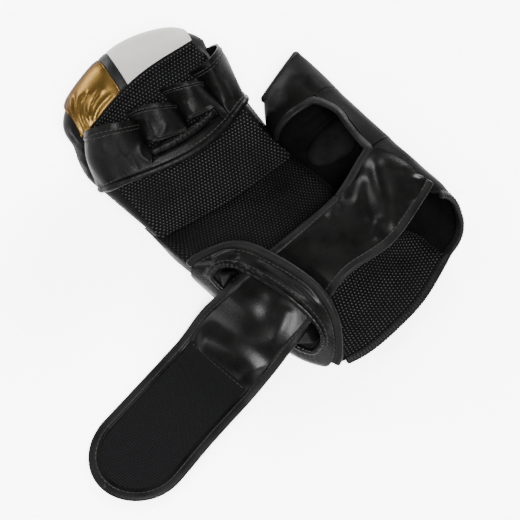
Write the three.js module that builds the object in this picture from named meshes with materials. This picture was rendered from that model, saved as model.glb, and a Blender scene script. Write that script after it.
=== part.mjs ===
// A right-hand MMA sparring glove, lying open on its padded back with the palm up.
// Millimetres. +Z is up, +Y runs towards the fingertips and +X towards the thumb.
// The origin is on the table, under the flat of the padded back.

import * as THREE from "three";

// Driving sizes of the hand. The tables below hold shares of these three.
const palmWidth = 112;
const gloveLength = 250;
const knuckleHeight = 80;

// Thickness of what the glove is sewn from
const clearance = 0.35;
const liningThickness = 2.0;
const leatherThickness = 1.8;
const bindingWidth = 6.5;
const bindingThickness = 3.8;

// Padding
const knuckleThickness = 40;
const creaseThickness = 15;
const handThickness = 24;
const noseBulge = 25;
const handEdgeRadius = 6;
const panelThickness = 1.6;

// Finger band and its four loops
const fingerHeight = 22;
const bandHeight = 19;
const gripBarRadius = 4;
const pipingRadius = 2.6;

// Wrist strap, its slit and its hook patch
const strapWidth = 68;
const strapThickness = 2.6;
const hookPatchThickness = 1.6;
const hookPatchStart = 0.7;
const hookPatchInset = 0.03;
const strapBindingRise = 0.5;
const weltRadius = 2.2;
const loopPatchThickness = 1.2;

// Thumb
const thumbPadThickness = 7;

const upwards = new THREE.Vector3(0, 0, 1);
const at = (x, y, z) => new THREE.Vector3(x * palmWidth, y * gloveLength, z * knuckleHeight);
const mix = (a, b, t) => a + (b - a) * t;
const clamp = (x) => Math.min(1, Math.max(0, x));
const smooth = (x) => clamp(x) ** 2 * (3 - 2 * clamp(x));

// Smooth curve through a few points, run past its ends in a straight line
function curveThrough(points) {
  const curve = new THREE.CatmullRomCurve3(points, false, "catmullrom", 0.5);
  const step = 0.01;
  return (t) => {
    const inside = clamp(t);
    const point = curve.getPoint(inside);
    if (t === inside) return point;
    const back = curve.getPoint(inside === 0 ? step : 1 - step);
    return point.clone().add(point.clone().sub(back).multiplyScalar(Math.abs(t - inside) / step));
  };
}

// Smooth surface through a net of points: s runs along a row and t from row to row
function surfaceThrough(rows) {
  const across = rows.map(curveThrough);
  return (s, t) => curveThrough(across.map((row) => row(s)))(t);
}

function grid(rowCount, columnCount, pointAt) {
  return Array.from({ length: rowCount + 1 }, (_, i) =>
    Array.from({ length: columnCount + 1 }, (_, j) => pointAt(i / rowCount, j / columnCount)));
}

// Unit normals of a grid of points, from its neighbours
function gridNormals(points, ring = false) {
  const rows = points.length;
  const columns = points[0].length;
  return points.map((row, i) => row.map((_, j) => {
    const up = points[Math.min(i + 1, rows - 1)][j].clone().sub(points[Math.max(i - 1, 0)][j]);
    const next = ring ? (j + 1) % columns : Math.min(j + 1, columns - 1);
    const last = ring ? (j + columns - 1) % columns : Math.max(j - 1, 0);
    return up.cross(row[next].clone().sub(row[last])).normalize();
  }));
}

function offsetGrid(points, normals, distance) {
  return points.map((row, i) => row.map((p, j) => p.clone().addScaledVector(normals[i][j], distance)));
}

// One closed body between two grids of the same size. A ring joins its last column to its first.
function solidBetween(front, back, ring = false) {
  const rows = front.length;
  const columns = front[0].length;
  const triangles = [];
  const quad = (a, b, c, d) => triangles.push([a, b, c], [a, c, d]);
  const lastColumn = ring ? columns : columns - 1;
  for (let i = 0; i < rows - 1; i += 1) {
    for (let j = 0; j < lastColumn; j += 1) {
      const k = (j + 1) % columns;
      quad(front[i][j], front[i][k], front[i + 1][k], front[i + 1][j]);
      quad(back[i][j], back[i + 1][j], back[i + 1][k], back[i][k]);
    }
    if (!ring) {
      quad(front[i][0], front[i + 1][0], back[i + 1][0], back[i][0]);
      quad(front[i + 1][columns - 1], front[i][columns - 1], back[i][columns - 1], back[i + 1][columns - 1]);
    }
  }
  for (let j = 0; j < lastColumn; j += 1) {
    const k = (j + 1) % columns;
    quad(front[0][k], front[0][j], back[0][j], back[0][k]);
    quad(front[rows - 1][j], front[rows - 1][k], back[rows - 1][k], back[rows - 1][j]);
  }
  return bodyOf(triangles);
}

// Welds equal corners, drops flattened triangles and turns the faces outwards
function bodyOf(triangles) {
  const index = new Map();
  const positions = [];
  const numberOf = (p) => {
    const key = p.toArray().map((x) => Math.round(x * 500)).join();
    if (!index.has(key)) {
      index.set(key, positions.length / 3);
      positions.push(p.x, p.y, p.z);
    }
    return index.get(key);
  };
  const faces = triangles.map((t) => t.map(numberOf)).filter(([a, b, c]) => a !== b && b !== c && c !== a);
  const corner = (n) => new THREE.Vector3().fromArray(positions, 3 * n);
  const volume = faces.reduce((sum, [a, b, c]) => sum + corner(a).dot(corner(b).cross(corner(c))), 0);
  const outward = volume > 0 ? faces : faces.map(([a, b, c]) => [a, c, b]);
  const geometry = new THREE.BufferGeometry();
  geometry.setAttribute("position", new THREE.Float32BufferAttribute(positions, 3));
  geometry.setIndex(outward.flat());
  geometry.computeVertexNormals();
  return geometry;
}

// A sheet of even thickness that starts `lift` above its grid
function sheetOn(points, lift, thickness, ring = false) {
  const normals = gridNormals(points, ring);
  return solidBetween(offsetGrid(points, normals, lift), offsetGrid(points, normals, lift + thickness), ring);
}

// A bar with an oval section along a list of points, its ends drawn in
function barAlong(points, halfWidth, halfHeight, upAt, sides = 8, taper = 0.6) {
  const count = points.length;
  const rings = points.map((p, i) => {
    const tangent = points[Math.min(i + 1, count - 1)].clone().sub(points[Math.max(i - 1, 0)]).normalize();
    const side = new THREE.Vector3().crossVectors(tangent, upAt(i)).normalize();
    const up = new THREE.Vector3().crossVectors(side, tangent);
    const size = i === 0 || i === count - 1 ? taper : 1;
    return Array.from({ length: sides }, (_, k) => {
      const angle = (2 * Math.PI * (k + 0.5)) / sides;
      return p.clone()
        .addScaledVector(side, halfWidth * size * Math.cos(angle))
        .addScaledVector(up, halfHeight * size * Math.sin(angle));
    });
  });
  const triangles = [];
  for (let i = 0; i < count - 1; i += 1) {
    for (let k = 0; k < sides; k += 1) {
      const n = (k + 1) % sides;
      triangles.push([rings[i][k], rings[i][n], rings[i + 1][n]], [rings[i][k], rings[i + 1][n], rings[i + 1][k]]);
    }
  }
  for (let k = 1; k < sides - 1; k += 1) {
    triangles.push([rings[0][0], rings[0][k + 1], rings[0][k]]);
    triangles.push([rings[count - 1][0], rings[count - 1][k], rings[count - 1][k + 1]]);
  }
  return bodyOf(triangles);
}

// Finger bed: the padded surface under the fingers, from the seam at their tips to the crease of the palm
const fingerBedRows = [
  { left: [-0.6, 0.532, 0.78], middle: [-0.045, 0.556, 0.96], right: [0.5, 0.532, 0.98] },
  { left: [-0.655, 0.448, 0.65], middle: [-0.05, 0.452, 0.77], right: [0.505, 0.432, 0.79] },
  { left: [-0.61, 0.344, 0.45], middle: [-0.05, 0.32, 0.52], right: [0.48, 0.28, 0.54] },
  { left: [-0.545, 0.226, 0.18], middle: [-0.05, 0.172, 0.18], right: [0.445, 0.118, 0.19] },
];
const fingerBed = surfaceThrough(fingerBedRows.map((row) => [row.left, row.middle, row.right].map((p) => at(...p))));

// Palm bed: the padded surface under the palm and wrist. Its first row is the crease, a little under the finger
// bed's last row, and its last row is the end of the cuff.
const creaseDrop = { back: 0.8, down: 0.6 };
const palmBedRows = [
  {
    left: [-0.545, 0.09, 0.34], inLeft: [-0.32, 0.056, 0.23], middle: [-0.05, 0.016, 0.2],
    inRight: [0.19, 0, 0.2], right: [0.455, 0, 0.25],
  },
  {
    left: [-0.49, -0.056, 0.28], inLeft: [-0.28, -0.096, 0.25], middle: [-0.04, -0.12, 0.26],
    inRight: [0.21, -0.12, 0.24], right: [0.475, -0.1, 0.22],
  },
  {
    left: [-0.44, -0.18, 0.19], inLeft: [-0.22, -0.208, 0.22], middle: [0.02, -0.224, 0.24],
    inRight: [0.28, -0.224, 0.22], right: [0.64, -0.208, 0.2],
  },
  {
    left: [-0.37, -0.32, 0.14], inLeft: [-0.16, -0.336, 0.17], middle: [0.07, -0.344, 0.19],
    inRight: [0.36, -0.336, 0.2], right: [0.72, -0.29, 0.19],
  },
  {
    left: [-0.26, -0.408, 0.11], inLeft: [-0.07, -0.43, 0.13], middle: [0.16, -0.436, 0.15],
    inRight: [0.43, -0.428, 0.17], right: [0.742, -0.39, 0.18],
  },
];
const palmBed = surfaceThrough([
  [0, 0.25, 0.5, 0.75, 1].map((s) => fingerBed(s, 1).add(new THREE.Vector3(0, -creaseDrop.back, -creaseDrop.down))),
  ...palmBedRows.map((row) => [row.left, row.inLeft, row.middle, row.inRight, row.right].map((p) => at(...p))),
]);

// How far the padding's edge has rolled down at s, a share of the roll's radius
function rollAt(s, radiusShare) {
  const past = (Math.abs(2 * s - 1) - (1 - radiusShare)) / radiusShare;
  return past > 0 ? 1 - Math.sqrt(Math.max(0, 1 - past * past)) : 0;
}

function frameOf(surface, s, t) {
  const step = 0.01;
  const across = surface(s + step, t).sub(surface(s - step, t));
  const along = surface(s, t + step).sub(surface(s, t - step));
  return { normal: across.cross(along).normalize().negate(), along: along.normalize() };
}

// Knuckle padding. Its skin runs from the finger seam over the nose and back under the knuckles to the crease.
// It stays thick until close to the crease, so that the glove rests on its underside too.
const knuckleRoll = { seam: 0.3, crease: 0.12 };
const nosePeak = { at: 0.36, reach: 0.63 };
const knuckleTuck = 8;
const knuckleBelly = 7;
const knuckleSideAt = (t) => mix(knuckleThickness, creaseThickness, smooth(t)) / 2;
const knuckleDepthAt = (t) => mix(knuckleThickness, creaseThickness, clamp(t) ** knuckleTuck)
  + knuckleBelly * Math.sin(Math.PI * clamp(t));
const knuckleRollAt = (s, t) => rollAt(s, mix(knuckleRoll.seam, knuckleRoll.crease, clamp(t)));

function knuckleTop(s, t) {
  const { normal } = frameOf(fingerBed, 0.5, t);
  const drop = knuckleRollAt(s, t) * knuckleSideAt(t);
  return fingerBed(s, t).addScaledVector(normal, -drop);
}

function knuckleBottom(s, t) {
  const { normal } = frameOf(fingerBed, 0.5, t);
  const depth = mix(knuckleDepthAt(t), knuckleSideAt(t), knuckleRollAt(s, t));
  const point = fingerBed(s, t).addScaledVector(normal, -depth);
  point.z = Math.max(0, point.z);
  return point;
}

// The round nose: turn runs from 0 at the finger seam to 1 under the knuckles
function knuckleNose(s, turn) {
  const { normal, along } = frameOf(fingerBed, 0.5, 0);
  const half = knuckleThickness / 2;
  const share = 1 - knuckleRollAt(s, 0);
  const angle = Math.PI * turn;
  const reach = Math.sqrt(share * Math.max(0, 1 - ((s - nosePeak.at) / nosePeak.reach) ** 2));
  return fingerBed(s, 0)
    .addScaledVector(normal, -half + half * share * Math.cos(angle))
    .addScaledVector(along, -noseBulge * reach * Math.sin(angle));
}

const knuckleColumns = 18;
const noseRows = 4;
const bedRows = 6;

// Where the padding's columns run. The lining's two edges follow the second column from each side.
const liningColumns = 2;
const liningEdge = { seam: 0.105, crease: 0.03 };

function knuckleColumn(j, t) {
  const edge = mix(liningEdge.seam, liningEdge.crease, clamp(t));
  const inner = (j - liningColumns) / (knuckleColumns - 2 * liningColumns);
  if (inner < 0) return edge * j / liningColumns;
  if (inner > 1) return 1 - edge * (knuckleColumns - j) / liningColumns;
  return mix(edge, 1 - edge, inner);
}

function knucklePad() {
  const side = (bed, sign) => Array.from({ length: noseRows + bedRows + 1 }, (_, i) =>
    Array.from({ length: knuckleColumns + 1 }, (_, j) => {
      if (i < noseRows) return knuckleNose(knuckleColumn(j, 0), (1 + sign * i / noseRows) / 2);
      const t = (i - noseRows) / bedRows;
      return bed(knuckleColumn(j, t), t);
    }));
  return solidBetween(side(knuckleTop, -1), side(knuckleBottom, 1));
}

// A cover panel wraps the nose between two lines that slant a little across it. Lines are columns of the pad.
const panelSlant = 1.2;

function coverPanel(from, to) {
  const points = grid(2 * noseRows, Math.ceil(to - from), (turn, c) => {
    const column = mix(to, from, c) + panelSlant * Math.min(turn, 0.5);
    return knuckleNose(knuckleColumn(column, 0), mix(0.02, 0.98, turn));
  });
  return sheetOn(points, 2 * clearance, panelThickness);
}

function fingerLining() {
  const points = Array.from({ length: bedRows + 1 }, (_, i) =>
    Array.from({ length: knuckleColumns - 2 * liningColumns + 1 }, (_, j) => {
      const t = i / bedRows;
      return knuckleTop(knuckleColumn(j + liningColumns, t), t);
    }));
  return sheetOn(points, clearance, liningThickness);
}

// Padding of the palm, wrist and cuff, flat where it rests on the table. A loop patch is let into it at the cuff.
const palmRoll = 0.12;
const creaseLean = { reach: 0.1, length: 8 };
const cuffEnd = 0.6;
const palmSideLift = 3.6;

function palmTop(s, t) {
  const point = palmBed(s, t);
  point.z -= rollAt(s, palmRoll) * handEdgeRadius;
  return point;
}

function palmBottom(s, t) {
  const thickness = mix(handThickness, creaseThickness, smooth((t - cuffEnd) / (1 - cuffEnd)));
  const depth = thickness - rollAt(s, palmRoll) * handEdgeRadius;
  const floor = t > cuffEnd ? loopPatchThickness + clearance : 0;
  const point = palmBed(s, t);
  const spread = Math.abs(2 * s - 1) ** 3;
  point.z = Math.max(floor + spread * palmSideLift, point.z - depth);
  point.y += creaseLean.length * Math.max(0, 1 - t / creaseLean.reach);
  return point;
}

const palmColumns = 14;
const palmRows = 15;
const palmEdge = 0.02;

const palmGrid = (surface, from, to, edge) => Array.from({ length: to - from + 1 }, (_, i) =>
  Array.from({ length: palmColumns + 1 }, (_, j) =>
    surface(Math.min(1 - edge, Math.max(edge, j / palmColumns)), (from + i) / palmRows)));

function handPad() {
  return solidBetween(palmGrid(palmTop, 0, palmRows, 0), palmGrid(palmBottom, 0, palmRows, 0));
}

// The palm lining ends and the cuff lining starts at this row of the padding
const liningSeamRow = 9;
const liningStart = 0.02;

function palmLining() {
  const points = palmGrid((s, t) => palmTop(s, Math.max(t, liningStart)), 0, liningSeamRow, palmEdge);
  return sheetOn(points, clearance, liningThickness);
}

function cuffLining() {
  const points = palmGrid(palmTop, liningSeamRow, palmRows, palmEdge);
  points[0] = points[0].map((p) => p.add(new THREE.Vector3(0, -2 * clearance, 0)));
  return sheetOn(points, clearance, liningThickness);
}

// The plain patch that the strap's hooks hold, under the cuff
const loopPatchSize = { length: 0.1, width: 0.5, at: -0.33, across: 0.18 };

function loopPatch() {
  const centre = at(loopPatchSize.across, loopPatchSize.at, 0);
  const box = new THREE.BoxGeometry(
    loopPatchSize.width * palmWidth, loopPatchSize.length * gloveLength, loopPatchThickness);
  return box.translate(centre.x, centre.y, loopPatchThickness / 2);
}

// Finger band. Its height over the finger bed is four leaning arches at the loops and one low arch below them.
// Places along the bed: at the band's ends, and what the middle adds to that.
const bandTop = { ends: 0.05, middle: 0.19 };
const bandLow = { left: 0.43, right: 0.52, middle: 0.11 };
const bandInset = { left: 0.11, right: 0.12, low: 0.035 };
const gripBarShare = 0.76;
const loopCount = 4;
const loopEnds = [0, 0.3, 0.57, 0.82, 1];
const loopLean = 0.55;
const archShape = (x) => Math.sin(Math.PI * clamp(x)) ** 0.6;
const bandTopAt = (s) => bandTop.ends + bandTop.middle * archShape(s);
const bandLowAt = (s) => mix(bandLow.left, bandLow.right, clamp(s)) + bandLow.middle * Math.sin(Math.PI * clamp(s));

function archAt(s) {
  for (let i = 0; i < loopCount; i += 1) {
    const x = (s - loopEnds[i]) / (loopEnds[i + 1] - loopEnds[i]);
    if (x >= 0 && x <= 1) return archShape(x);
  }
  return 0;
}

// Clear height over the padding: the ends of the band lie beside the lining and the rest of it over the lining
function seatedHeight(s) {
  const overLining = smooth((Math.min(s, 1 - s) - bandInset.low) / bandInset.low);
  return 1.5 * clearance + (liningThickness + 0.8 * clearance) * overLining;
}

// share runs from 0 at the band's upper edge to 1 at its lower edge
function bandPoint(along, share, shape = archAt(along)) {
  const from = mix(bandInset.left, bandInset.low, share);
  const to = 1 - mix(bandInset.right, bandInset.low, share);
  const s = mix(from, to, along);
  const t = mix(bandTopAt(along), bandLowAt(along), share);
  const step = 0.012;
  const a = knuckleTop(clamp(s + step), t).sub(knuckleTop(clamp(s - step), t));
  const b = knuckleTop(s, t + step).sub(knuckleTop(s, t - step));
  const normal = a.clone().cross(b).normalize().negate();
  const arch = fingerHeight * shape;
  const height = seatedHeight(s) + mix(arch, bandHeight * archShape(along), smooth(share));
  return knuckleTop(s, t)
    .addScaledVector(normal, height)
    .addScaledVector(a.normalize(), loopLean * arch * (1 - share) * (1 - along));
}

const gripBarEnds = { from: 0.31, to: 0.73 };
const gripBarFlatness = 0.8;
const slot = { closed: 0.015, open: 0.105, past: 0.05, ramp: 0.04 };
const loopGap = 0.02;

// Half the width of the slot that holds the grip bar, as a share of the band
function slotAt(s) {
  const fromLeft = smooth((s - gripBarEnds.from + slot.past) / slot.ramp);
  const fromRight = smooth((gripBarEnds.to + slot.past - s) / slot.ramp);
  return mix(slot.closed, slot.open, fromLeft * fromRight);
}

function fingerLoop(i) {
  const first = i === 0 ? 0 : loopEnds[i] + loopGap;
  const last = i === loopCount - 1 ? 1 : loopEnds[i + 1] - loopGap;
  const points = grid(5, 9, (r, c) => {
    const s = mix(first, last, c);
    return bandPoint(s, (gripBarShare - slotAt(s)) * r, archShape(c));
  });
  return sheetOn(points, 0, leatherThickness);
}

function fingerBand() {
  const points = grid(3, 30, (r, s) => bandPoint(s, mix(gripBarShare + slotAt(s), 1, r)));
  return sheetOn(points, 0, leatherThickness);
}

const pipingLift = 0.7;

function bandPiping() {
  const points = grid(1, 30, (r, s) => {
    const edge = bandPoint(s, 1);
    const out = edge.clone().sub(bandPoint(s, 0.9)).setLength(pipingRadius + clearance);
    return edge.add(out).addScaledVector(upwards, pipingLift * (1 - archShape(s)));
  })[0];
  return barAlong(points, pipingRadius, pipingRadius, () => upwards);
}

function gripBar() {
  const points = grid(1, 10, (r, c) => {
    const s = mix(gripBarEnds.from, gripBarEnds.to, c);
    return bandPoint(s, gripBarShare);
  })[0];
  return barAlong(points, gripBarRadius * gripBarFlatness, gripBarRadius, () => upwards);
}

// Thumb sleeve and the cuff's thumb side: sections across, each an arc of a rounded box.
// x, y: centre. lean: how much nearer the cuff the bottom is. half: half width. from, to: degrees of the arc.
const sleeveRows = [
  { x: 0.735, y: -0.045, lean: 0, half: 0.262, low: 0.05, high: 0.72, turn: 0, from: -148, to: 82 },
  { x: 0.725, y: 0.05, lean: 0, half: 0.265, low: 0.05, high: 0.74, turn: 0, from: -152, to: 74 },
  { x: 0.73, y: 0.116, lean: 0, half: 0.262, low: 0.05, high: 0.74, turn: -2, from: -152, to: 70 },
  { x: 0.745, y: 0.192, lean: 0, half: 0.26, low: 0.05, high: 0.72, turn: -11, from: -150, to: 84 },
];
const hoodRows = [
  { x: 0.745, y: 0.196, lean: 0, half: 0.26, low: 0.05, high: 0.72, turn: -11, from: -180, to: 180 },
  { x: 0.76, y: 0.244, lean: 0, half: 0.25, low: 0.1, high: 0.69, turn: -3, from: -180, to: 180 },
  { x: 0.79, y: 0.296, lean: 0, half: 0.236, low: 0.22, high: 0.6, turn: 8, from: -180, to: 180 },
  { x: 0.82, y: 0.338, lean: 0, half: 0.212, low: 0.37, high: 0.5, turn: 15, from: -180, to: 180 },
];
const sideRows = [
  { x: 0.735, y: -0.053, lean: 0, half: 0.26, low: 0.05, high: 0.72, turn: 0, from: -148, to: 66 },
  { x: 0.755, y: -0.15, lean: -0.03, half: 0.24, low: 0.05, high: 0.72, turn: 0, from: -108, to: 60 },
  { x: 0.765, y: -0.236, lean: -0.05, half: 0.232, low: 0.06, high: 0.72, turn: 0, from: -94, to: 58 },
  { x: 0.765, y: -0.27, lean: -0.11, half: 0.215, low: 0.12, high: 0.7, turn: 0, from: -92, to: 54 },
];

function sectionPoint(row, share) {
  const angle = THREE.MathUtils.degToRad(mix(row.from, row.to, share));
  const square = (x) => Math.sign(x) * Math.abs(x) ** 0.8;
  const out = row.half * square(Math.cos(angle)) * palmWidth;
  const turn = THREE.MathUtils.degToRad(row.turn);
  const height = (1 + square(Math.sin(angle))) / 2;
  return new THREE.Vector3(
    row.x * palmWidth + out * Math.cos(turn),
    (row.y + row.lean * (1 - height)) * gloveLength + out * Math.sin(turn),
    mix(row.low, row.high, height) * knuckleHeight,
  );
}

const throughSections = (rows) => (share, t) => curveThrough(rows.map((row) => sectionPoint(row, share)))(t);
const sleeve = throughSections(sleeveRows);
const hood = throughSections(hoodRows);
const side = throughSections(sideRows);
const hoodSides = 20;

function thumbSleeve() {
  return sheetOn(grid(9, 12, (t, s) => sleeve(s, t)), 0, leatherThickness);
}

function thumbHood() {
  const points = grid(5, hoodSides - 1, (t, s) => hood(s * (hoodSides - 1) / hoodSides, t));
  return sheetOn(points, 0, leatherThickness, true);
}

function sideWall() {
  return sheetOn(grid(8, 10, (t, s) => side(1 - s, t)), 0, leatherThickness);
}

// Wrist strap: it starts at the thumb side, crosses the wrist, dives under the slot flap, comes up through
// the slit and lies down on the table. Each row holds its upper edge, middle and lower edge.
const strapRows = [
  { upper: [0.8, -0.04, 0.74], middle: [0.86, -0.144, 0.78], lower: [0.88, -0.25, 0.74] },
  { upper: [0.7, -0.044, 0.7], middle: [0.75, -0.16, 0.79], lower: [0.77, -0.264, 0.74] },
  { upper: [0.42, -0.076, 0.59], middle: [0.43, -0.19, 0.72], lower: [0.41, -0.3, 0.74] },
  { upper: [0.1, -0.078, 0.58], middle: [0.09, -0.18, 0.66], lower: [0.08, -0.28, 0.7] },
  { upper: [-0.15, -0.064, 0.5], middle: [-0.14, -0.18, 0.52], lower: [-0.13, -0.286, 0.5] },
  { upper: [-0.33, -0.055, 0.43], middle: [-0.31, -0.18, 0.44], lower: [-0.27, -0.3, 0.4] },
  { upper: [-0.5, -0.05, 0.39], middle: [-0.48, -0.176, 0.37], lower: [-0.44, -0.304, 0.3] },
  { upper: [-0.67, -0.034, 0.19], middle: [-0.65, -0.17, 0.18], lower: [-0.61, -0.31, 0.13] },
  { upper: [-0.9, -0.042, 0.012], middle: [-0.88, -0.182, 0.012], lower: [-0.85, -0.318, 0.005] },
  { upper: [-1.25, -0.06, 0.005], middle: [-1.22, -0.196, 0.005], lower: [-1.18, -0.332, 0.005] },
  { upper: [-1.6, -0.076, 0.005], middle: [-1.56, -0.214, 0.005], lower: [-1.51, -0.352, 0.005] },
  { upper: [-1.93, -0.088, 0.005], middle: [-1.88, -0.226, 0.005], lower: [-1.82, -0.364, 0.005] },
];
const strapNet = surfaceThrough(strapRows.map((row) => [row.upper, row.middle, row.lower].map((p) => at(...p))));

function strapSurface(s, t) {
  const point = strapNet(s, t);
  point.z = Math.max(0, point.z);
  return point;
}

const tipShare = 0.095;
const strapStart = 0.004;
const tipSteps = 5;

// Half the strap's width at t, as a share, drawn in round at the tip
function strapHalf(t, edge) {
  const round = clamp((t - (1 - tipShare)) / (tipShare - edge * tipShare));
  return (1 - edge) * Math.sqrt(Math.max(0, 1 - round * round)) / 2;
}

const bindingShare = bindingWidth / (strapWidth / 2);
const panelShare = bindingShare + clearance / (strapWidth / 2);

// Places along the strap, closer together where it turns at the tip
function strapPlaces(count, edge) {
  return Array.from({ length: count + 1 }, (_, i) => {
    const angle = Math.PI / 2 * Math.max(0, i - count + tipSteps) / tipSteps;
    const straight = mix(strapStart, 1 - tipShare, Math.min(1, i / (count - tipSteps)));
    return straight + tipShare * (1 - edge) * Math.sin(angle);
  });
}

function wristStrap() {
  const places = strapPlaces(strapCount, panelShare);
  const points = places.map((t) => grid(1, 6, (r, c) =>
    strapSurface(0.5 + (2 * c - 1) * strapHalf(t, panelShare), t))[0]);
  return sheetOn(points, 0, strapThickness);
}

// The strap's binding starts on the upper edge where the thumb's binding ends, at this place of the strap
const strapCount = 34;
const tapeStart = 7;

function strapBinding() {
  const lower = Array.from({ length: strapCount + 1 }, (_, i) => ({ side: 1, i }));
  const upper = lower.slice(tapeStart, -1).reverse().map(({ i }) => ({ side: -1, i }));
  const points = [...lower, ...upper].map(({ side, i }) => [1, 0.5, 0].map((c) => {
    const edge = c * bindingShare;
    const t = strapPlaces(strapCount, edge)[i];
    return strapSurface(0.5 + side * strapHalf(t, edge), t);
  }));
  return sheetOn(points, 0, strapThickness + strapBindingRise);
}

function hookPatch() {
  const edge = panelShare + hookPatchInset;
  const places = strapPlaces(strapCount, edge).filter((t) => t > hookPatchStart);
  const points = places.map((t) => grid(1, 6, (r, c) =>
    strapSurface(0.5 + (2 * c - 1) * strapHalf(t, edge), t))[0]);
  return sheetOn(points, strapThickness + clearance, hookPatchThickness);
}

// Slot flap: it rises from the padding's little-finger side, over the strap, to its piped edge.
// Each row holds its points from the padding's edge to the piping.
const flapRows = [
  { foot: [-0.565, 0.06, 0.18], below: [-0.565, 0.062, 0.3], above: [-0.54, 0.066, 0.38], edge: [-0.48, 0.07, 0.43] },
  { foot: [-0.545, -0.01, 0.16], below: [-0.525, -0.01, 0.31], above: [-0.41, -0.008, 0.5], edge: [-0.29, 0.004, 0.58] },
  { foot: [-0.515, -0.11, 0.11], below: [-0.49, -0.11, 0.26], above: [-0.34, -0.112, 0.54], edge: [-0.2, -0.1, 0.66] },
  { foot: [-0.465, -0.22, 0.07], below: [-0.445, -0.226, 0.21], above: [-0.29, -0.23, 0.52], edge: [-0.14, -0.22, 0.66] },
  { foot: [-0.405, -0.32, 0.06], below: [-0.39, -0.33, 0.16], above: [-0.26, -0.335, 0.42], edge: [-0.16, -0.32, 0.57] },
  { foot: [-0.33, -0.39, 0.06], below: [-0.315, -0.396, 0.12], above: [-0.285, -0.4, 0.2], edge: [-0.25, -0.4, 0.27] },
];
const flapSurface = surfaceThrough(flapRows.map((row) =>
  [row.foot, row.below, row.above, row.edge].map((p) => at(...p))));

// The slit is a long hole with round ends. Its places are shares of the flap's surface.
const slit = { across: 0.56, along: 0.5, halfWidth: 0.17, halfLength: 0.34 };
const flapSides = 36;
const powered = (x, power) => Math.sign(x) * Math.abs(x) ** power;

// A point between the slit (ring 0) and the flap's outline (ring 1), going round with turn
function flapPoint(ring, turn) {
  const angle = 2 * Math.PI * turn;
  const inner = {
    across: slit.across + slit.halfWidth * powered(Math.cos(angle), 0.6),
    along: slit.along + slit.halfLength * powered(Math.sin(angle), 0.7),
  };
  const outer = {
    across: 0.5 + 0.5 * powered(Math.cos(angle), 0.45),
    along: 0.5 + 0.5 * powered(Math.sin(angle), 0.45),
  };
  return flapSurface(mix(inner.across, outer.across, ring), mix(inner.along, outer.along, ring));
}

// Rings of the flap from the slit's rim to its outline
const flapRings = [0.14, 0.42, 0.7, 0.97];
const flapGrid = flapRings.map((ring) =>
  Array.from({ length: flapSides }, (_, k) => flapPoint(ring, -k / flapSides)));

function slotFlap() {
  return sheetOn(flapGrid, 0, leatherThickness, true);
}

// Points beside a ring of the flap, on the side away from the ring next to it
function besideFlap(ring, next, reach) {
  const normals = gridNormals(flapGrid, true);
  return flapGrid[ring].map((p, k) => {
    const before = flapGrid[ring][(k + flapSides - 1) % flapSides];
    const after = flapGrid[ring][(k + 1) % flapSides];
    const out = after.clone().sub(before).cross(normals[ring][k]).setLength(reach);
    if (out.dot(p.clone().sub(flapGrid[next][k])) < 0) out.negate();
    return p.clone().add(out).addScaledVector(normals[ring][k], leatherThickness / 2);
  });
}

// A closed round cord along a ring of points
function ringAlong(points, radius, sides) {
  const count = points.length;
  const rings = points.map((p, i) => {
    const tangent = points[(i + 1) % count].clone().sub(points[(i + count - 1) % count]).normalize();
    const side = new THREE.Vector3().crossVectors(tangent, upwards).normalize();
    const up = new THREE.Vector3().crossVectors(side, tangent);
    return Array.from({ length: sides }, (_, k) => {
      const angle = (2 * Math.PI * k) / sides;
      return p.clone()
        .addScaledVector(side, radius * Math.cos(angle))
        .addScaledVector(up, radius * Math.sin(angle));
    });
  });
  const triangles = [];
  for (let i = 0; i < count; i += 1) {
    const m = (i + 1) % count;
    for (let k = 0; k < sides; k += 1) {
      const n = (k + 1) % sides;
      triangles.push([rings[i][k], rings[i][n], rings[m][n]], [rings[i][k], rings[m][n], rings[m][k]]);
    }
  }
  return bodyOf(triangles);
}

function slitWelt() {
  return ringAlong(besideFlap(0, 1, weltRadius + 2 * clearance), weltRadius, 6);
}

// Piping on the flap's free edge, from the palm's side round to the end of the cuff
const pipedSides = 8;

function flapPiping() {
  const ring = besideFlap(flapRings.length - 1, flapRings.length - 2, pipingRadius + 3 * clearance);
  const points = [...ring.slice(-pipedSides), ...ring.slice(0, pipedSides + 1)];
  return barAlong(points, pipingRadius, pipingRadius, () => upwards);
}

// A flat tape beside the edge of a sheet. Each place holds a point of the edge and one further into the sheet,
// and the two next to them along the edge.
function tapeBeside(surface, places) {
  const step = 0.02;
  return places.map(({ s, t, inS, inT }) => {
    const edge = surface(s, t);
    const outward = edge.clone().sub(surface(s + inS * step, t + inT * step)).normalize();
    const along = surface(s + inT * step, t + inS * step).sub(surface(s - inT * step, t - inS * step));
    const normal = outward.clone().cross(along).normalize();
    return { point: edge.addScaledVector(outward, bindingWidth / 2 + 2 * clearance), normal };
  });
}

function tapeAlong(places) {
  places.slice(1).forEach((place, i) => place.normal.dot(places[i].normal) < 0 && place.normal.negate());
  return barAlong(places.map((place) => place.point), bindingWidth / 2, bindingThickness / 2,
    (i) => places[i].normal);
}

const shares = (count, from, to) => Array.from({ length: count + 1 }, (_, i) => mix(from, to, i / count));

// Binding round the end of the cuff: down the thumb's side wall and along the padding's end
function cuffBinding() {
  const wall = tapeBeside(side, shares(8, 0.97, 0.08).map((s) => ({ s, t: 1, inS: 0, inT: -1 })));
  const end = tapeBeside(palmTop, shares(14, 0.96, 0.1).map((s) => ({ s, t: 1, inS: 0, inT: -1 })));
  return tapeAlong([...wall, ...end]);
}

// Binding round the thumb's opening: the hood's mouth, the sleeve's upper edge and the strap's upper edge
const onStrap = { start: 0.055, stop: 0.012, overEdge: 0.008 };

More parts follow.
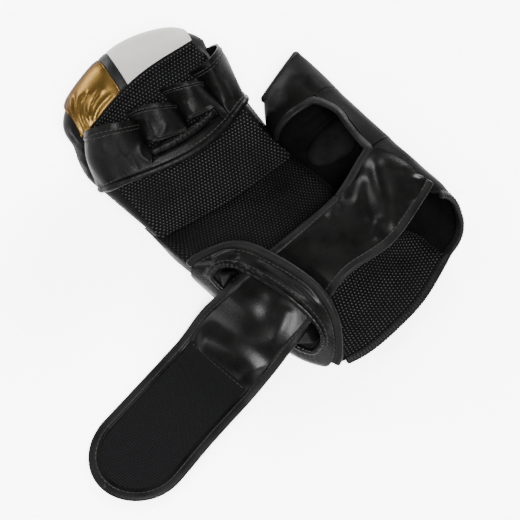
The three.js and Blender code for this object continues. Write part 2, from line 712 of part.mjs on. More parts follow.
function thumbBinding() {
  const mouth = tapeBeside(hood, shares(8, 0.97, 0.76).map((s) => ({ s, t: 0, inS: 0, inT: 1 })));
  const wall = tapeBeside(sleeve, shares(9, 0.86, 0.15).map((t) => ({ s: 1, t, inS: -1, inT: 0 })));
  const last = strapPlaces(strapCount, 0)[tapeStart] - onStrap.stop;
  const strap = shares(8, onStrap.start, last).map((t) => {
    const { normal } = frameOf(strapSurface, 0.5, t);
    const edge = strapSurface(bindingShare / 4 - onStrap.overEdge, t);
    const point = edge.addScaledVector(normal, strapThickness / 2);
    return { point, normal };
  });
  return tapeAlong([...mouth, ...wall, ...strap]);
}

// Seam piping across the thumb's tip, a little lower than the opening that it closes
const thumbPipingTall = 0.8;

function thumbPiping() {
  const row = hoodRows[hoodRows.length - 1];
  const points = grid(1, 6, (r, c) => {
    const left = hood(0, 1);
    const right = hood(0.5, 1);
    const out = left.clone().sub(right).cross(upwards).setLength(pipingRadius + clearance);
    return left.clone().lerp(right, c).add(out.y > 0 ? out : out.negate());
  })[0];
  const tall = (row.high - row.low) * knuckleHeight / 2;
  return barAlong(points, pipingRadius, tall * thumbPipingTall, () => upwards);
}

// The soft oval pad inside the thumb, a dome on the sleeve's inner face. Places are shares of the sleeve.
const thumbPadPlace = { across: 0.42, along: 0.62, halfAcross: 0.2, halfAlong: 0.3 };
const thumbPadRim = 0.04;

function thumbPad() {
  const sides = 14;
  const pointOn = (ring, turn, height) => {
    const s = thumbPadPlace.across + thumbPadPlace.halfAcross * ring * Math.cos(2 * Math.PI * turn);
    const t = thumbPadPlace.along + thumbPadPlace.halfAlong * ring * Math.sin(2 * Math.PI * turn);
    const { normal } = frameOf(sleeve, s, t);
    return sleeve(s, t).addScaledVector(normal, height);
  };
  const rings = [0.001, 0.4, 0.75, 1];
  const dome = (height) => rings.map((ring) =>
    Array.from({ length: sides }, (_, k) => pointOn(ring, k / sides, height(ring))));
  const front = dome(() => -2 * clearance);
  const back = dome((ring) =>
    -2 * clearance - thumbPadThickness * Math.sqrt(Math.max(thumbPadRim, 1 - ring * ring)));
  return solidBetween(front, back, true);
}

const group = new THREE.Group();

function add(name, geometry, color, roughness = 0.5, metalness = 0) {
  const material = new THREE.MeshStandardMaterial({ color, roughness, metalness });
  const mesh = new THREE.Mesh(geometry, material);
  mesh.name = name;
  group.add(mesh);
}

const black = 0x141414;
const meshBlack = 0x1c1c1c;

add("knuckle_pad", knucklePad(), black, 0.4);
add("gold_panel", coverPanel(1.6, 7), 0xa07a35, 0.35, 0.6);
add("stripe_panel", coverPanel(7.1, 8), 0x303030, 0.5);
add("white_panel", coverPanel(8.1, 16), 0xd8d5cf, 0.45);
add("finger_lining", fingerLining(), meshBlack, 0.9);
add("hand_pad", handPad(), black, 0.4);
add("palm_lining", palmLining(), meshBlack, 0.9);
add("cuff_lining", cuffLining(), meshBlack, 0.9);
add("loop_patch", loopPatch(), meshBlack, 0.95);
for (let i = 0; i < loopCount; i += 1) add(`finger_loop_${i + 1}`, fingerLoop(i), black, 0.4);
add("finger_band", fingerBand(), black, 0.4);
add("band_piping", bandPiping(), black, 0.45);
add("grip_bar", gripBar(), black, 0.5);
add("thumb_sleeve", thumbSleeve(), black, 0.4);
add("thumb_hood", thumbHood(), black, 0.4);
add("thumb_piping", thumbPiping(), black, 0.4);
add("thumb_binding", thumbBinding(), meshBlack, 0.8);
add("thumb_pad", thumbPad(), meshBlack, 0.9);
add("side_wall", sideWall(), black, 0.4);
add("cuff_binding", cuffBinding(), meshBlack, 0.8);
add("wrist_strap", wristStrap(), black, 0.35);
add("strap_binding", strapBinding(), meshBlack, 0.8);
add("hook_patch", hookPatch(), meshBlack, 0.95);
add("slot_flap", slotFlap(), black, 0.4);
add("flap_piping", flapPiping(), meshBlack, 0.8);
add("slit_welt", slitWelt(), black, 0.4);

export default group;
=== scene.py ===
"""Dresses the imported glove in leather, lining, tape and thread, and sets the light and the camera."""

import math

import bpy
import numpy as np
from mathutils import Matrix


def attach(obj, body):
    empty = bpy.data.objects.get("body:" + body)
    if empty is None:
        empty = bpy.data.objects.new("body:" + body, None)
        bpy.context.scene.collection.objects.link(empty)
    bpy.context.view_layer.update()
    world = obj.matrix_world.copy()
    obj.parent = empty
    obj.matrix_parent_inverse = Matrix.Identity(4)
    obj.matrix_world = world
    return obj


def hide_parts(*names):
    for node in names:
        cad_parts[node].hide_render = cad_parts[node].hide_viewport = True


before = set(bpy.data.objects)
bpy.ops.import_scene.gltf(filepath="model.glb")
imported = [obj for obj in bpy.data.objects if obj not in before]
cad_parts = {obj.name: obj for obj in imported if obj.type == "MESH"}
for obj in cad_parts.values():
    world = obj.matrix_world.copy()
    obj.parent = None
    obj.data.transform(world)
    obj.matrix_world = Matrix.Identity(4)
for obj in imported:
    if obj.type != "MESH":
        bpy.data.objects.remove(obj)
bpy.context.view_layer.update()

MM = 0.001
HAND = np.array([112.0, 250.0, 80.0])
GAP = 0.35
LINING = 2.0

# The photograph's camera, in the frame's millimetres and the photograph's pixels
AZIMUTH, ELEVATION = math.radians(-43.0), math.radians(68.0)
TARGET = np.array([-19.0, -9.5, 19.0])
FAR, FOCAL, MIDDLE = 808.0, 1105.0, 260.0
BACK = np.array([math.sin(AZIMUTH) * math.cos(ELEVATION), -math.cos(AZIMUTH) * math.cos(ELEVATION),
                 math.sin(ELEVATION)])
RIGHT = np.array([math.cos(AZIMUTH), math.sin(AZIMUTH), 0.0])
UP = np.cross(BACK, RIGHT)
EYE = TARGET + BACK * FAR


def pixel(points):
    """Where points lie in the photograph."""
    seen = points - EYE
    depth = -(seen @ BACK)
    return np.stack([MIDDLE + FOCAL * (seen @ RIGHT) / depth, MIDDLE - FOCAL * (seen @ UP) / depth], -1)


def mix(a, b, t):
    return a + (b - a) * t


def clamp(x):
    return np.clip(x, 0.0, 1.0)


def smooth(x):
    x = clamp(x)
    return x * x * (3 - 2 * x)


def unit(v):
    return v / np.maximum(np.linalg.norm(v, axis=-1, keepdims=True), 1e-9)


def powered(x, power):
    return np.sign(x) * np.abs(x) ** power


def curve(points, u):
    """Smooth curve through points (n, 1 or N, 3) at places u (N), run on straight past its ends."""
    count = len(points)
    inside = clamp(u)
    x = inside * (count - 1)
    i = np.minimum(x.astype(int), count - 2)
    w = (x - i)[:, None]
    run = np.concatenate([2 * points[:1] - points[1:2], points, 2 * points[-1:] - points[-2:-1]])
    lane = np.arange(len(u)) if points.shape[1] > 1 else 0
    p0, p1, p2, p3 = (run[i + k, lane] for k in range(4))
    a, b = (p2 - p0) / 2, (p3 - p1) / 2
    cubic, square = 2 * (p1 - p2) + a + b, 3 * (p2 - p1) - 2 * a - b
    slope = (3 * cubic * w + 2 * square) * w + a
    return (cubic * w + square) * w * w + a * w + p1 + slope * ((u - inside) * (count - 1))[:, None]


def through(net):
    """Smooth surface through a net of points: s runs along a row and t from row to row."""
    def at(s, t):
        s, t = np.broadcast_arrays(np.asarray(s, float), np.asarray(t, float))
        across = np.stack([curve(row[:, None], s.ravel()) for row in net])
        return curve(across, t.ravel()).reshape(s.shape + (3,))
    return at


def line(points, count):
    """A smooth line of count points through a few."""
    return curve(np.asarray(points, float)[:, None], np.linspace(0, 1, count))


def places(rows, columns, first=(0.0, 1.0), second=(0.0, 1.0)):
    return np.meshgrid(np.linspace(*first, rows + 1), np.linspace(*second, columns + 1), indexing="ij")


def normals_of(grid, ring=False):
    along = np.gradient(grid, axis=0)
    if ring:
        across = np.roll(grid, -1, 1) - np.roll(grid, 1, 1)
    else:
        across = np.gradient(grid, axis=1)
    return unit(np.cross(along, across))


def strokes(grid, table):
    """Height of folds drawn in the photograph's pixels: (height, half width, points of the fold)."""
    spots = pixel(grid)
    total = np.zeros(grid.shape[:-1])
    for height, width, points in table:
        path = line(np.pad(np.array(points, float), ((0, 0), (0, 1))), 14)[:, :2]
        best = np.full(total.shape, 1e9)
        share = np.zeros(total.shape)
        for k in range(len(path) - 1):
            a, run = path[k], path[k + 1] - path[k]
            w = clamp(((spots - a) @ run) / max(run @ run, 1e-9))
            d = np.linalg.norm(spots - a - w[..., None] * run, axis=-1)
            near = d < best
            best = np.where(near, d, best)
            share = np.where(near, (k + w) / (len(path) - 1), share)
        taper = smooth(np.minimum(share, 1 - share) * 5 + 0.12)
        total += height * np.exp(-((best / width) ** 2)) * taper
    return total


def waves(grid, size, seed, count=7):
    """Soft random unevenness of about -1 to 1, its bumps about size mm apart."""
    rng = np.random.default_rng(seed)
    total = np.zeros(grid.shape[:-1])
    for _ in range(count):
        way = unit(rng.normal(size=3)) * rng.uniform(0.6, 1.6) * 2 * np.pi / size
        total += np.sin(grid @ way + rng.uniform(0, 6.28))
    return total / count ** 0.5 * 0.7


# Materials

def shader(name, color, roughness, metallic=0.0, sheen=0.0, coat=0.0, specular=0.5):
    material = bpy.data.materials.new(name)
    material.use_nodes = True
    tree = material.node_tree
    surface = tree.nodes["Principled BSDF"]
    surface.inputs["Base Color"].default_value = (*color, 1)
    surface.inputs["Roughness"].default_value = roughness
    surface.inputs["Metallic"].default_value = metallic
    surface.inputs["Sheen Weight"].default_value = sheen
    surface.inputs["Sheen Roughness"].default_value = 0.5
    surface.inputs["Coat Weight"].default_value = coat
    surface.inputs["Coat Roughness"].default_value = 0.3
    surface.inputs["Specular IOR Level"].default_value = specular

    def add(kind, settings=None, **inputs):
        made = tree.nodes.new(kind)
        for key, value in (settings or {}).items():
            setattr(made, key, value)
        for key, value in inputs.items():
            socket = made.inputs[int(key[1:])] if key[0] == "i" and key[1:].isdigit() else made.inputs[key]
            if isinstance(value, bpy.types.NodeSocket):
                tree.links.new(value, socket)
            else:
                socket.default_value = value
        return made

    def link(value, socket):
        tree.links.new(value, surface.inputs[socket])

    return material, add, link


def object_noise(add, scale, detail=3.0):
    where = add("ShaderNodeTexCoord").outputs["Object"]
    return add("ShaderNodeTexNoise", Vector=where, Scale=scale, Detail=detail).outputs["Fac"]


def tint(add, value, dark, light, low=0.35, high=0.65):
    share = add("ShaderNodeMapRange", Value=value, i1=low, i2=high).outputs["Result"]
    blend = add("ShaderNodeMixRGB", Fac=share, Color1=(*dark, 1), Color2=(*light, 1))
    return blend.outputs["Color"]


def leather(name, color, roughness=0.36, metallic=0.0, grain=0.00012, specular=0.5, spread=0.25,
            soft_bump=0.0004):
    material, add, link = shader(name, color, roughness, metallic, specular=specular)
    where = add("ShaderNodeTexCoord").outputs["Object"]
    pebbles = add("ShaderNodeTexVoronoi", Vector=where, Scale=900.0).outputs["Distance"]
    pores = add("ShaderNodeTexNoise", Vector=where, Scale=420.0, Detail=6.0).outputs["Fac"]
    slow = add("ShaderNodeTexNoise", Vector=where, Scale=60.0, Detail=4.0).outputs["Fac"]
    both = add("ShaderNodeMath", {"operation": "ADD"}, i0=pebbles, i1=pores).outputs[0]
    bump = add("ShaderNodeBump", Height=both, Distance=grain, Strength=0.8)
    grained = bump.outputs["Normal"]
    soft = add("ShaderNodeBump", Height=slow, Distance=soft_bump, Strength=0.4, Normal=grained)
    link(soft.outputs["Normal"], "Normal")
    rough = add("ShaderNodeMapRange", Value=slow, i1=0.3, i2=0.7, i3=roughness * 0.85, i4=roughness * 1.2)
    link(rough.outputs["Result"], "Roughness")
    light = tuple(c * (1 + spread) for c in color)
    dark = tuple(c * (1 - spread) for c in color)
    link(tint(add, slow, dark, light), "Base Color")
    return material


def dotted(name, base, dot, pitch=0.0027, radius=0.00056):
    """Lining with raised pale dots on a hexagonal lattice, laid out on the piece's own flat sizes."""
    material, add, link = shader(name, base, 0.8, sheen=0.0, specular=0.02)
    flat = add("ShaderNodeUVMap", {"uv_map": "flat"}).outputs["UV"]
    cell = (pitch, pitch * math.sqrt(3), 1.0)

    def nearest(shift):
        scaled = add("ShaderNodeVectorMath", {"operation": "DIVIDE"}, i0=flat, i1=cell).outputs[0]
        moved = add("ShaderNodeVectorMath", {"operation": "ADD"}, i0=scaled, i1=(shift, shift, 0)).outputs[0]
        part = add("ShaderNodeVectorMath", {"operation": "FRACTION"}, i0=moved).outputs[0]
        middle = add("ShaderNodeVectorMath", {"operation": "SUBTRACT"}, i0=part, i1=(0.5, 0.5, 0)).outputs[0]
        back = add("ShaderNodeVectorMath", {"operation": "MULTIPLY"}, i0=middle, i1=cell).outputs[0]
        return add("ShaderNodeVectorMath", {"operation": "LENGTH"}, i0=back).outputs["Value"]

    close = add("ShaderNodeMath", {"operation": "MINIMUM"}, i0=nearest(100.0), i1=nearest(100.5)).outputs[0]
    mask = add("ShaderNodeMapRange", {"interpolation_type": "SMOOTHSTEP"}, Value=close,
               i1=radius * 1.15, i2=radius * 0.6).outputs["Result"]
    wear = object_noise(add, 45.0)
    tone = tint(add, wear, tuple(c * 0.55 for c in dot), dot, 0.3, 0.7)
    cloth = tint(add, object_noise(add, 300.0), tuple(c * 0.75 for c in base), tuple(c * 1.3 for c in base))
    link(add("ShaderNodeMixRGB", Fac=mask, Color1=cloth, Color2=tone).outputs["Color"], "Base Color")
    knit = object_noise(add, 1500.0, 2.0)
    first = add("ShaderNodeBump", Height=knit, Distance=0.00025, Strength=0.7).outputs["Normal"]
    second = add("ShaderNodeBump", Height=mask, Distance=0.0004, Strength=0.9, Normal=first).outputs["Normal"]
    link(second, "Normal")
    return material


def cloth(name, color, roughness=0.85, sheen=0.25, rows=None):
    """Plain fabric or tape. rows, in metres, adds woven rows across the piece's flat length."""
    material, add, link = shader(name, color, roughness, sheen=sheen, specular=0.025)
    fuzz = object_noise(add, 1100.0, 4.0)
    slow = object_noise(add, 90.0)
    dark, light = tuple(c * 0.7 for c in color), tuple(c * 1.4 for c in color)
    shade = tint(add, slow, dark, light)
    height = fuzz
    if rows:
        flat = add("ShaderNodeUVMap", {"uv_map": "flat"}).outputs["UV"]
        turns = tuple(2 * math.pi / x for x in (rows[0], rows[1], 1.0))
        scaled = add("ShaderNodeVectorMath", {"operation": "MULTIPLY"}, i0=flat, i1=turns).outputs[0]
        split = add("ShaderNodeSeparateXYZ", i0=scaled)
        nudge = add("ShaderNodeMath", {"operation": "MULTIPLY_ADD"},
                    i0=fuzz, i1=2.5, i2=split.outputs["Y"]).outputs[0]
        wave = add("ShaderNodeMath", {"operation": "SINE"}, i0=nudge).outputs[0]
        cross = add("ShaderNodeMath", {"operation": "SINE"}, i0=split.outputs["X"]).outputs[0]
        height = add("ShaderNodeMath", {"operation": "MULTIPLY_ADD"}, i0=cross, i1=0.35, i2=wave).outputs[0]
        shade = tint(add, height, tuple(c * 0.6 for c in color), tuple(c * 2.0 for c in color), -1.2, 1.3)
    link(shade, "Base Color")
    bump = add("ShaderNodeBump", Height=height, Distance=0.0003, Strength=0.7).outputs["Normal"]
    link(bump, "Normal")
    return material


BLACK = leather("black_leather", (0.0013, 0.00125, 0.0012), 0.4, specular=0.038)
PADDING = leather("padding_leather", (0.0012, 0.00115, 0.0011), 0.5, specular=0.02)
SIDES_LEATHER = leather("side_leather", (0.0012, 0.00115, 0.0011), 0.46, grain=0.00009, specular=0.009)
SMOOTH = leather("strap_leather", (0.0013, 0.00125, 0.0012), 0.3, grain=0.00005, specular=0.05,
                 soft_bump=0.0001)
GOLD = leather("gold_leather", (0.052, 0.031, 0.0085), 0.36, 0.85, grain=0.00005, spread=0.12)
EDGE_TINT = (0.25, 0.13, 0.03, 1)
GOLD.node_tree.nodes["Principled BSDF"].inputs["Specular Tint"].default_value = EDGE_TINT
WHITE = leather("white_leather", (0.15, 0.147, 0.14), 0.55, grain=0.00005, specular=0.1, spread=0.04)
STRIPE = leather("stripe_leather", (0.0025, 0.0025, 0.0027), 0.5, specular=0.05)
DOTTED = dotted("dotted_lining", (0.0009, 0.0009, 0.001), (0.026, 0.026, 0.025))
# A darker copy of the dotted lining for the palm: its darker cloth and dimmer dots are painted shade for the
# palm between the crease and the flap.
PAINTED_SHADE_LINING = dotted("palm_painted_shade_lining", (0.0007, 0.0007, 0.0008), (0.014, 0.014, 0.0138))
CLOTH = cloth("inner_cloth", (0.0006, 0.0006, 0.0007), sheen=0.0)
PAD_CLOTH = cloth("thumb_pad_cloth", (0.0016, 0.0016, 0.0017), sheen=0.0)
TAPE_CLOTH = leather("binding_tape", (0.0021, 0.00205, 0.002), 0.45, specular=0.035)
HOOKS = cloth("hook_patch_cloth", (0.0015, 0.0015, 0.0016), 0.9, 0.0, rows=(0.0011, 0.0017))
LOOPS = cloth("loop_patch_cloth", (0.001, 0.001, 0.001), sheen=0.0)
THREAD = cloth("thread", (0.012, 0.0118, 0.0115), 0.7, 0.0)


# Meshes

def build(name, verts, faces, materials, flat=None, inner=None, smooth_level=0):
    mesh = bpy.data.meshes.new(name)
    mesh.from_pydata((np.asarray(verts) * MM).tolist(), [], [list(map(int, f)) for f in faces])
    if flat is not None:
        layer = mesh.uv_layers.new(name="flat")
        corner = np.empty(len(mesh.loops), int)
        mesh.loops.foreach_get("vertex_index", corner)
        layer.data.foreach_set("uv", (flat[corner] * MM).astype(np.float32).ravel())
    mesh.validate()
    for material in materials:
        mesh.materials.append(material)
    for k, polygon in enumerate(mesh.polygons):
        polygon.use_smooth = True
        if inner is not None and inner[k]:
            polygon.material_index = 1
    piece = bpy.data.objects.new(name, mesh)
    bpy.context.scene.collection.objects.link(piece)
    if smooth_level:
        piece.modifiers.new("round", "SUBSURF").levels = smooth_level
        piece.modifiers["round"].render_levels = smooth_level
    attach(piece, "root")
    return piece


def dress(node):
    """Hides the imported solid that a piece stands for."""
    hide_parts(node)


def flat_sizes(grid):
    """Lengths along and across a grid, measured from its middle, so that a pattern keeps its size."""
    across = np.linalg.norm(np.diff(grid, axis=1), axis=-1)
    u = np.concatenate([np.zeros((len(grid), 1)), np.cumsum(across, 1)], 1)
    u -= u[:, u.shape[1] // 2][:, None]
    along = np.linalg.norm(np.diff(grid, axis=0), axis=-1)[:, grid.shape[1] // 2]
    v = np.concatenate([[0], np.cumsum(along)])[:, None] + np.zeros_like(u)
    return np.stack([u, v], -1)


def quads(rows, columns, ring, start=0, turned=False):
    i, j = np.meshgrid(np.arange(rows - 1), np.arange(columns if ring else columns - 1), indexing="ij")
    k = (j + 1) % columns
    order = [i * columns + j, (i + 1) * columns + j, (i + 1) * columns + k, i * columns + k]
    if turned:
        order = order[::-1]
    return np.stack(order, -1).reshape(-1, 4) + start


def shell(name, grid, thickness, lift=0.0, materials=(BLACK,), ring=False, smooth_level=1, shape=None):
    """A sheet of even thickness over a grid. shape holds heights for the outer face. The inner face follows
    nine tenths of them."""
    rows, columns = grid.shape[:2]
    normals = normals_of(grid, ring)
    extra = np.zeros((rows, columns)) if shape is None else shape
    outer = grid + normals * (lift + thickness + extra)[..., None]
    inner = grid + normals * (lift + extra * 0.9)[..., None]
    count = rows * columns
    faces = [quads(rows, columns, ring), quads(rows, columns, ring, count, True)]
    n = np.arange(count).reshape(rows, columns)
    rims = [(n[0], True), (n[-1], False)]
    if not ring:
        rims += [(n[:, 0], False), (n[:, -1], True)]
    for rim, turned in rims:
        nxt = np.roll(rim, -1) if ring else rim[1:]
        here = rim if ring else rim[:-1]
        side = np.stack([here, here + count, nxt + count, nxt], -1)
        faces.append(side[:, ::-1] if not turned else side)
    every = np.concatenate(faces)
    backs = np.zeros(len(every), bool)
    backs[len(faces[0]):len(faces[0]) * 2] = True
    sizes = flat_sizes(grid).reshape(-1, 2)
    verts = np.concatenate([outer.reshape(-1, 3), inner.reshape(-1, 3)])
    return build(name, verts, every, materials, np.concatenate([sizes, sizes]),
                 backs if len(materials) > 1 else None, smooth_level)


def rails(path, up, closed):
    if closed:
        ahead = unit(np.roll(path, -1, 0) - np.roll(path, 1, 0))
    else:
        ahead = unit(np.gradient(path, axis=0))
    side = unit(np.cross(ahead, np.broadcast_to(np.asarray(up, float), path.shape)))
    return ahead, side, np.cross(side, ahead)


def tube_mesh(path, up, half_width, half_height, sides=14, closed=False, power=1.0, uneven=None):
    """Points and faces of a bar with an oval or boxy section. uneven adds a share of its size to a point."""
    ahead, side, top = rails(path, up, closed)
    scale = np.ones((len(path), sides)) if uneven is None else 1 + uneven
    if not closed:
        reach = np.mean([np.mean(half_width), np.mean(half_height)])
        ends = [(0.0, 0.55), (0.45, 0.9)]
        first = [path[0] - ahead[0] * reach * (0.5 - k) for k, _ in ends]
        last = [path[-1] + ahead[-1] * reach * (0.5 - k) for k, _ in ends][::-1]
        path = np.concatenate([first, path, last])
        side, top = (np.concatenate([v[:1], v[:1], v, v[-1:], v[-1:]]) for v in (side, top))
        sizes = [np.full((1, sides), k) for _, k in ends]
        scale = np.concatenate([*sizes, scale, *sizes[::-1]])
        if np.ndim(half_width):
            half_width = np.pad(half_width, 2, mode="edge")
        if np.ndim(half_height):
            half_height = np.pad(half_height, 2, mode="edge")
    angle = 2 * np.pi * (np.arange(sides) + 0.5) / sides
    wide = np.reshape(half_width, (-1, 1)) * powered(np.cos(angle), power) * scale
    tall = np.reshape(half_height, (-1, 1)) * powered(np.sin(angle), power) * scale
    verts = path[:, None] + side[:, None] * wide[..., None] + top[:, None] * tall[..., None]
    rows = len(path)
    if closed:
        faces = quads(rows + 1, sides, True) % (rows * sides)
    else:
        faces = quads(rows, sides, True)
    caps = [] if closed else [list(range(sides)), list(range((rows - 1) * sides, rows * sides))[::-1]]
    return verts.reshape(-1, 3), [list(f) for f in faces] + caps


def tube(name, path, up, half_width, half_height, material, sides=14, closed=False, power=1.0, uneven=None,
         smooth_level=0):
    verts, faces = tube_mesh(path, up, half_width, half_height, sides, closed, power, uneven)
    return build(name, verts, faces, [material], smooth_level=smooth_level)


def run_of(path):
    """Length along a path up to each of its points."""
    return np.concatenate([[0], np.cumsum(np.linalg.norm(np.diff(path, axis=0), axis=-1))])


def picked(path, run, want):
    """A path's values at the wanted lengths along it."""
    return np.stack([np.interp(want, run, path[:, k]) for k in range(3)], -1)


STITCH = {"length": 2.5, "gap": 1.0, "radius": 0.3}
STITCH_SPAN = (0.12, 0.84)
STITCH_DIP = (-0.9, 0.15, 0.15, -0.9)


def stitches(name, lines, radius=STITCH["radius"]):
    """Thread stitches along lines of (path, up). Each is a short bar whose ends dip into the cloth."""
    every, faces, start = [], [], 0
    for path, up in lines:
        run = run_of(path)
        total = run[-1]
        lift = np.broadcast_to(np.asarray(up, float), path.shape)
        count = int(total / (STITCH["length"] + STITCH["gap"]))
        for n in range(count):
            at = (n + np.linspace(*STITCH_SPAN, 4)) / count * total
            points = picked(path, run, at)
            over = unit(picked(lift, run, at))
            dip = np.array(STITCH_DIP)[:, None] * radius
            verts, some = tube_mesh(points + over * dip, over, radius, radius * 0.8, 5)
            every.append(verts)
            faces += [[v + start for v in f] for f in some]
            start += len(verts)
    return build(name, np.concatenate(every), faces, [THREAD])


# Surfaces of the hand, in shares of its width, length and knuckle height

def on_hand(points):
    return np.array(points, float) * HAND


finger_bed = through(on_hand([
    [[-0.6, 0.532, 0.78], [-0.045, 0.556, 0.96], [0.5, 0.532, 0.98]],
    [[-0.655, 0.448, 0.65], [-0.05, 0.452, 0.77], [0.505, 0.432, 0.79]],
    [[-0.61, 0.344, 0.45], [-0.05, 0.32, 0.52], [0.475, 0.28, 0.54]],
    [[-0.545, 0.226, 0.18], [-0.03, 0.18, 0.18], [0.525, 0.155, 0.2]],
]))
crease = [finger_bed(s, 1.0) - [0, 0.8, 0.6] for s in (0, 0.25, 0.5, 0.75, 1)]
palm_bed = through(np.concatenate([[crease], on_hand([
    [[-0.545, 0.09, 0.34], [-0.32, 0.056, 0.23], [-0.04, 0.03, 0.2], [0.24, 0.02, 0.2], [0.54, 0.03, 0.24]],
    [[-0.49, -0.056, 0.28], [-0.28, -0.096, 0.25], [-0.03, -0.12, 0.26], [0.25, -0.11, 0.23],
     [0.555, -0.08, 0.21]],
    [[-0.44, -0.18, 0.19], [-0.22, -0.208, 0.22], [0.02, -0.224, 0.24], [0.28, -0.224, 0.22],
     [0.64, -0.208, 0.2]],
    [[-0.37, -0.32, 0.14], [-0.16, -0.336, 0.17], [0.07, -0.344, 0.19], [0.36, -0.336, 0.2],
     [0.72, -0.29, 0.19]],
    [[-0.26, -0.408, 0.11], [-0.07, -0.43, 0.13], [0.16, -0.436, 0.15], [0.43, -0.428, 0.17],
     [0.742, -0.39, 0.18]],
])]))


def roll(s, share):
    past = np.clip((np.abs(2 * s - 1) - (1 - share)) / share, 0, 1)
    return 1 - np.sqrt(1 - past ** 2)


def bed_frame(t):
    t = np.asarray(t, float)
    across = finger_bed(0.51, t) - finger_bed(0.49, t)
    along = finger_bed(0.5, t + 0.01) - finger_bed(0.5, t - 0.01)
    return -unit(np.cross(across, along)), unit(along)


def knuckle_roll(s, t):
    return roll(s, mix(0.3, 0.12, clamp(t)))


def knuckle_side(t):
    return mix(40.0, 15.0, smooth(t)) / 2


def knuckle_top(s, t):
    s, t = np.broadcast_arrays(np.asarray(s, float), np.asarray(t, float))
    return finger_bed(s, t) - bed_frame(t)[0] * (knuckle_roll(s, t) * knuckle_side(t))[..., None]


def knuckle_bottom(s, t):
    depth = mix(40.0, 15.0, clamp(t) ** 8) + 7 * np.sin(np.pi * clamp(t))
    depth = mix(depth, knuckle_side(t), knuckle_roll(s, t))
    point = finger_bed(s, t) - bed_frame(t)[0] * depth[..., None]
    point[..., 2] = np.maximum(0.2, point[..., 2])
    return point


def nose(s, turn):
    """The round nose: turn runs from 0 at the finger seam to 1 under the knuckles."""
    s, turn = np.broadcast_arrays(np.asarray(s, float), np.asarray(turn, float))
    normal, along = bed_frame(0.0)
    share = 1 - knuckle_roll(s, 0.0)
    reach = np.sqrt(share * np.maximum(0, 1 - ((s - 0.36) / 0.63) ** 2))
    rise = -20 + 20 * share * np.cos(np.pi * turn)
    out = 25 * reach * np.sin(np.pi * turn)
    return finger_bed(s, 0.0) + normal * rise[..., None] - along * out[..., None]


def column(j, t=0.0):
    """Place across the knuckle pad of a column line, 0 to 18. Lines 2 and 16 are the lining's two edges."""
    edge = mix(0.105, 0.03, clamp(t))
    middle = mix(edge, 1 - edge, (j - 2) / 14)
    return np.where(j < 2, edge * j / 2, np.where(j > 16, 1 - edge * (18 - j) / 2, middle))


def palm_top(s, t):
    point = palm_bed(s, t)
    point[..., 2] -= roll(np.asarray(s, float), 0.12) * 6
    return point


def palm_bottom(s, t):
    thickness = mix(24.0, 15.0, smooth((t - 0.6) / 0.4))
    point = palm_bed(s, t)
    floor = np.where(t > 0.6, 1.6, 0.2) + np.abs(2 * s - 1) ** 3 * 3.6
    point[..., 2] = np.maximum(floor, point[..., 2] - thickness + roll(s, 0.12) * 6)
    point[..., 1] += 8 * np.maximum(0, 1 - t / 0.1)
    return point


def closed_pad(name, rings, material):
    """A padded body from a grid whose rows close on themselves and whose two sides are capped."""
    rows, columns = rings.shape[:2]
    i, j = np.meshgrid(np.arange(rows), np.arange(columns - 1), indexing="ij")
    k = (i + 1) % rows
    faces = np.stack([i * columns + j, k * columns + j, k * columns + j + 1, i * columns + j + 1], -1)
    caps = [list(range(0, rows * columns, columns))[::-1], list(range(columns - 1, rows * columns, columns))]
    return build(name, rings.reshape(-1, 3), faces.reshape(-1, 4).tolist() + caps, [material])


# Knuckle pad with the folds of its little-finger cheek

CHEEK = [
    (1.6, 2.2, [(71, 126), (78, 139), (87, 146)]), (1.5, 2.2, [(74, 141), (82, 152), (89, 159)]),
    (1.3, 2.4, [(78, 155), (85, 163), (92, 168)]), (-1.2, 2.0, [(70, 133), (79, 146), (90, 153)]),
    (-1.2, 2.0, [(76, 148), (84, 158), (93, 164)]), (1.0, 2.4, [(86, 170), (92, 178), (98, 183)]),
]
TIP_FOLDS = [
    (1.8, 2.4, [(197, 40), (206, 44), (213, 52)]), (-1.2, 2.0, [(199, 45), (206, 50), (209, 58)]),
    (1.4, 2.2, [(200, 50), (204, 56), (205, 64)]),
]
across = (1 - np.cos(np.pi * np.linspace(0, 1, 61))) / 2
tucked = np.linspace(1, 0, 15)[:-1, None]
turned = np.linspace(1, 0, 17)[:, None]
bedded = np.linspace(0, 1, 19)[1:, None]
underside = knuckle_bottom(*np.broadcast_arrays(across[None], tucked))
skin = np.concatenate([underside, nose(across[None], turned), knuckle_top(across[None], bedded)])
outward = normals_of(skin)
seen = (outward @ BACK > 0)[..., None]
skin = skin + outward * np.where(seen, strokes(skin, CHEEK + TIP_FOLDS)[..., None], 0)
knuckle_pad = closed_pad("knuckle_padding", skin, PADDING)
dress("knuckle_pad")


# Cover panels over the nose

def panel_grid(first, last, rows=64):
    columns = max(8, int((last - first) * 9))
    turn, share = places(rows, columns)
    line_at = mix(last, first, share) + 1.2 * np.minimum(turn, 0.5)
    return nose(column(line_at), mix(0.0, 0.97, turn)), share


def puffed(share, height, seam=0.12):
    """Puffed between its two seams."""
    near = np.minimum(share, 1 - share) / seam
    return height * (np.sqrt(clamp(near)) * 0.8 + 0.2 * np.sin(np.pi * share))


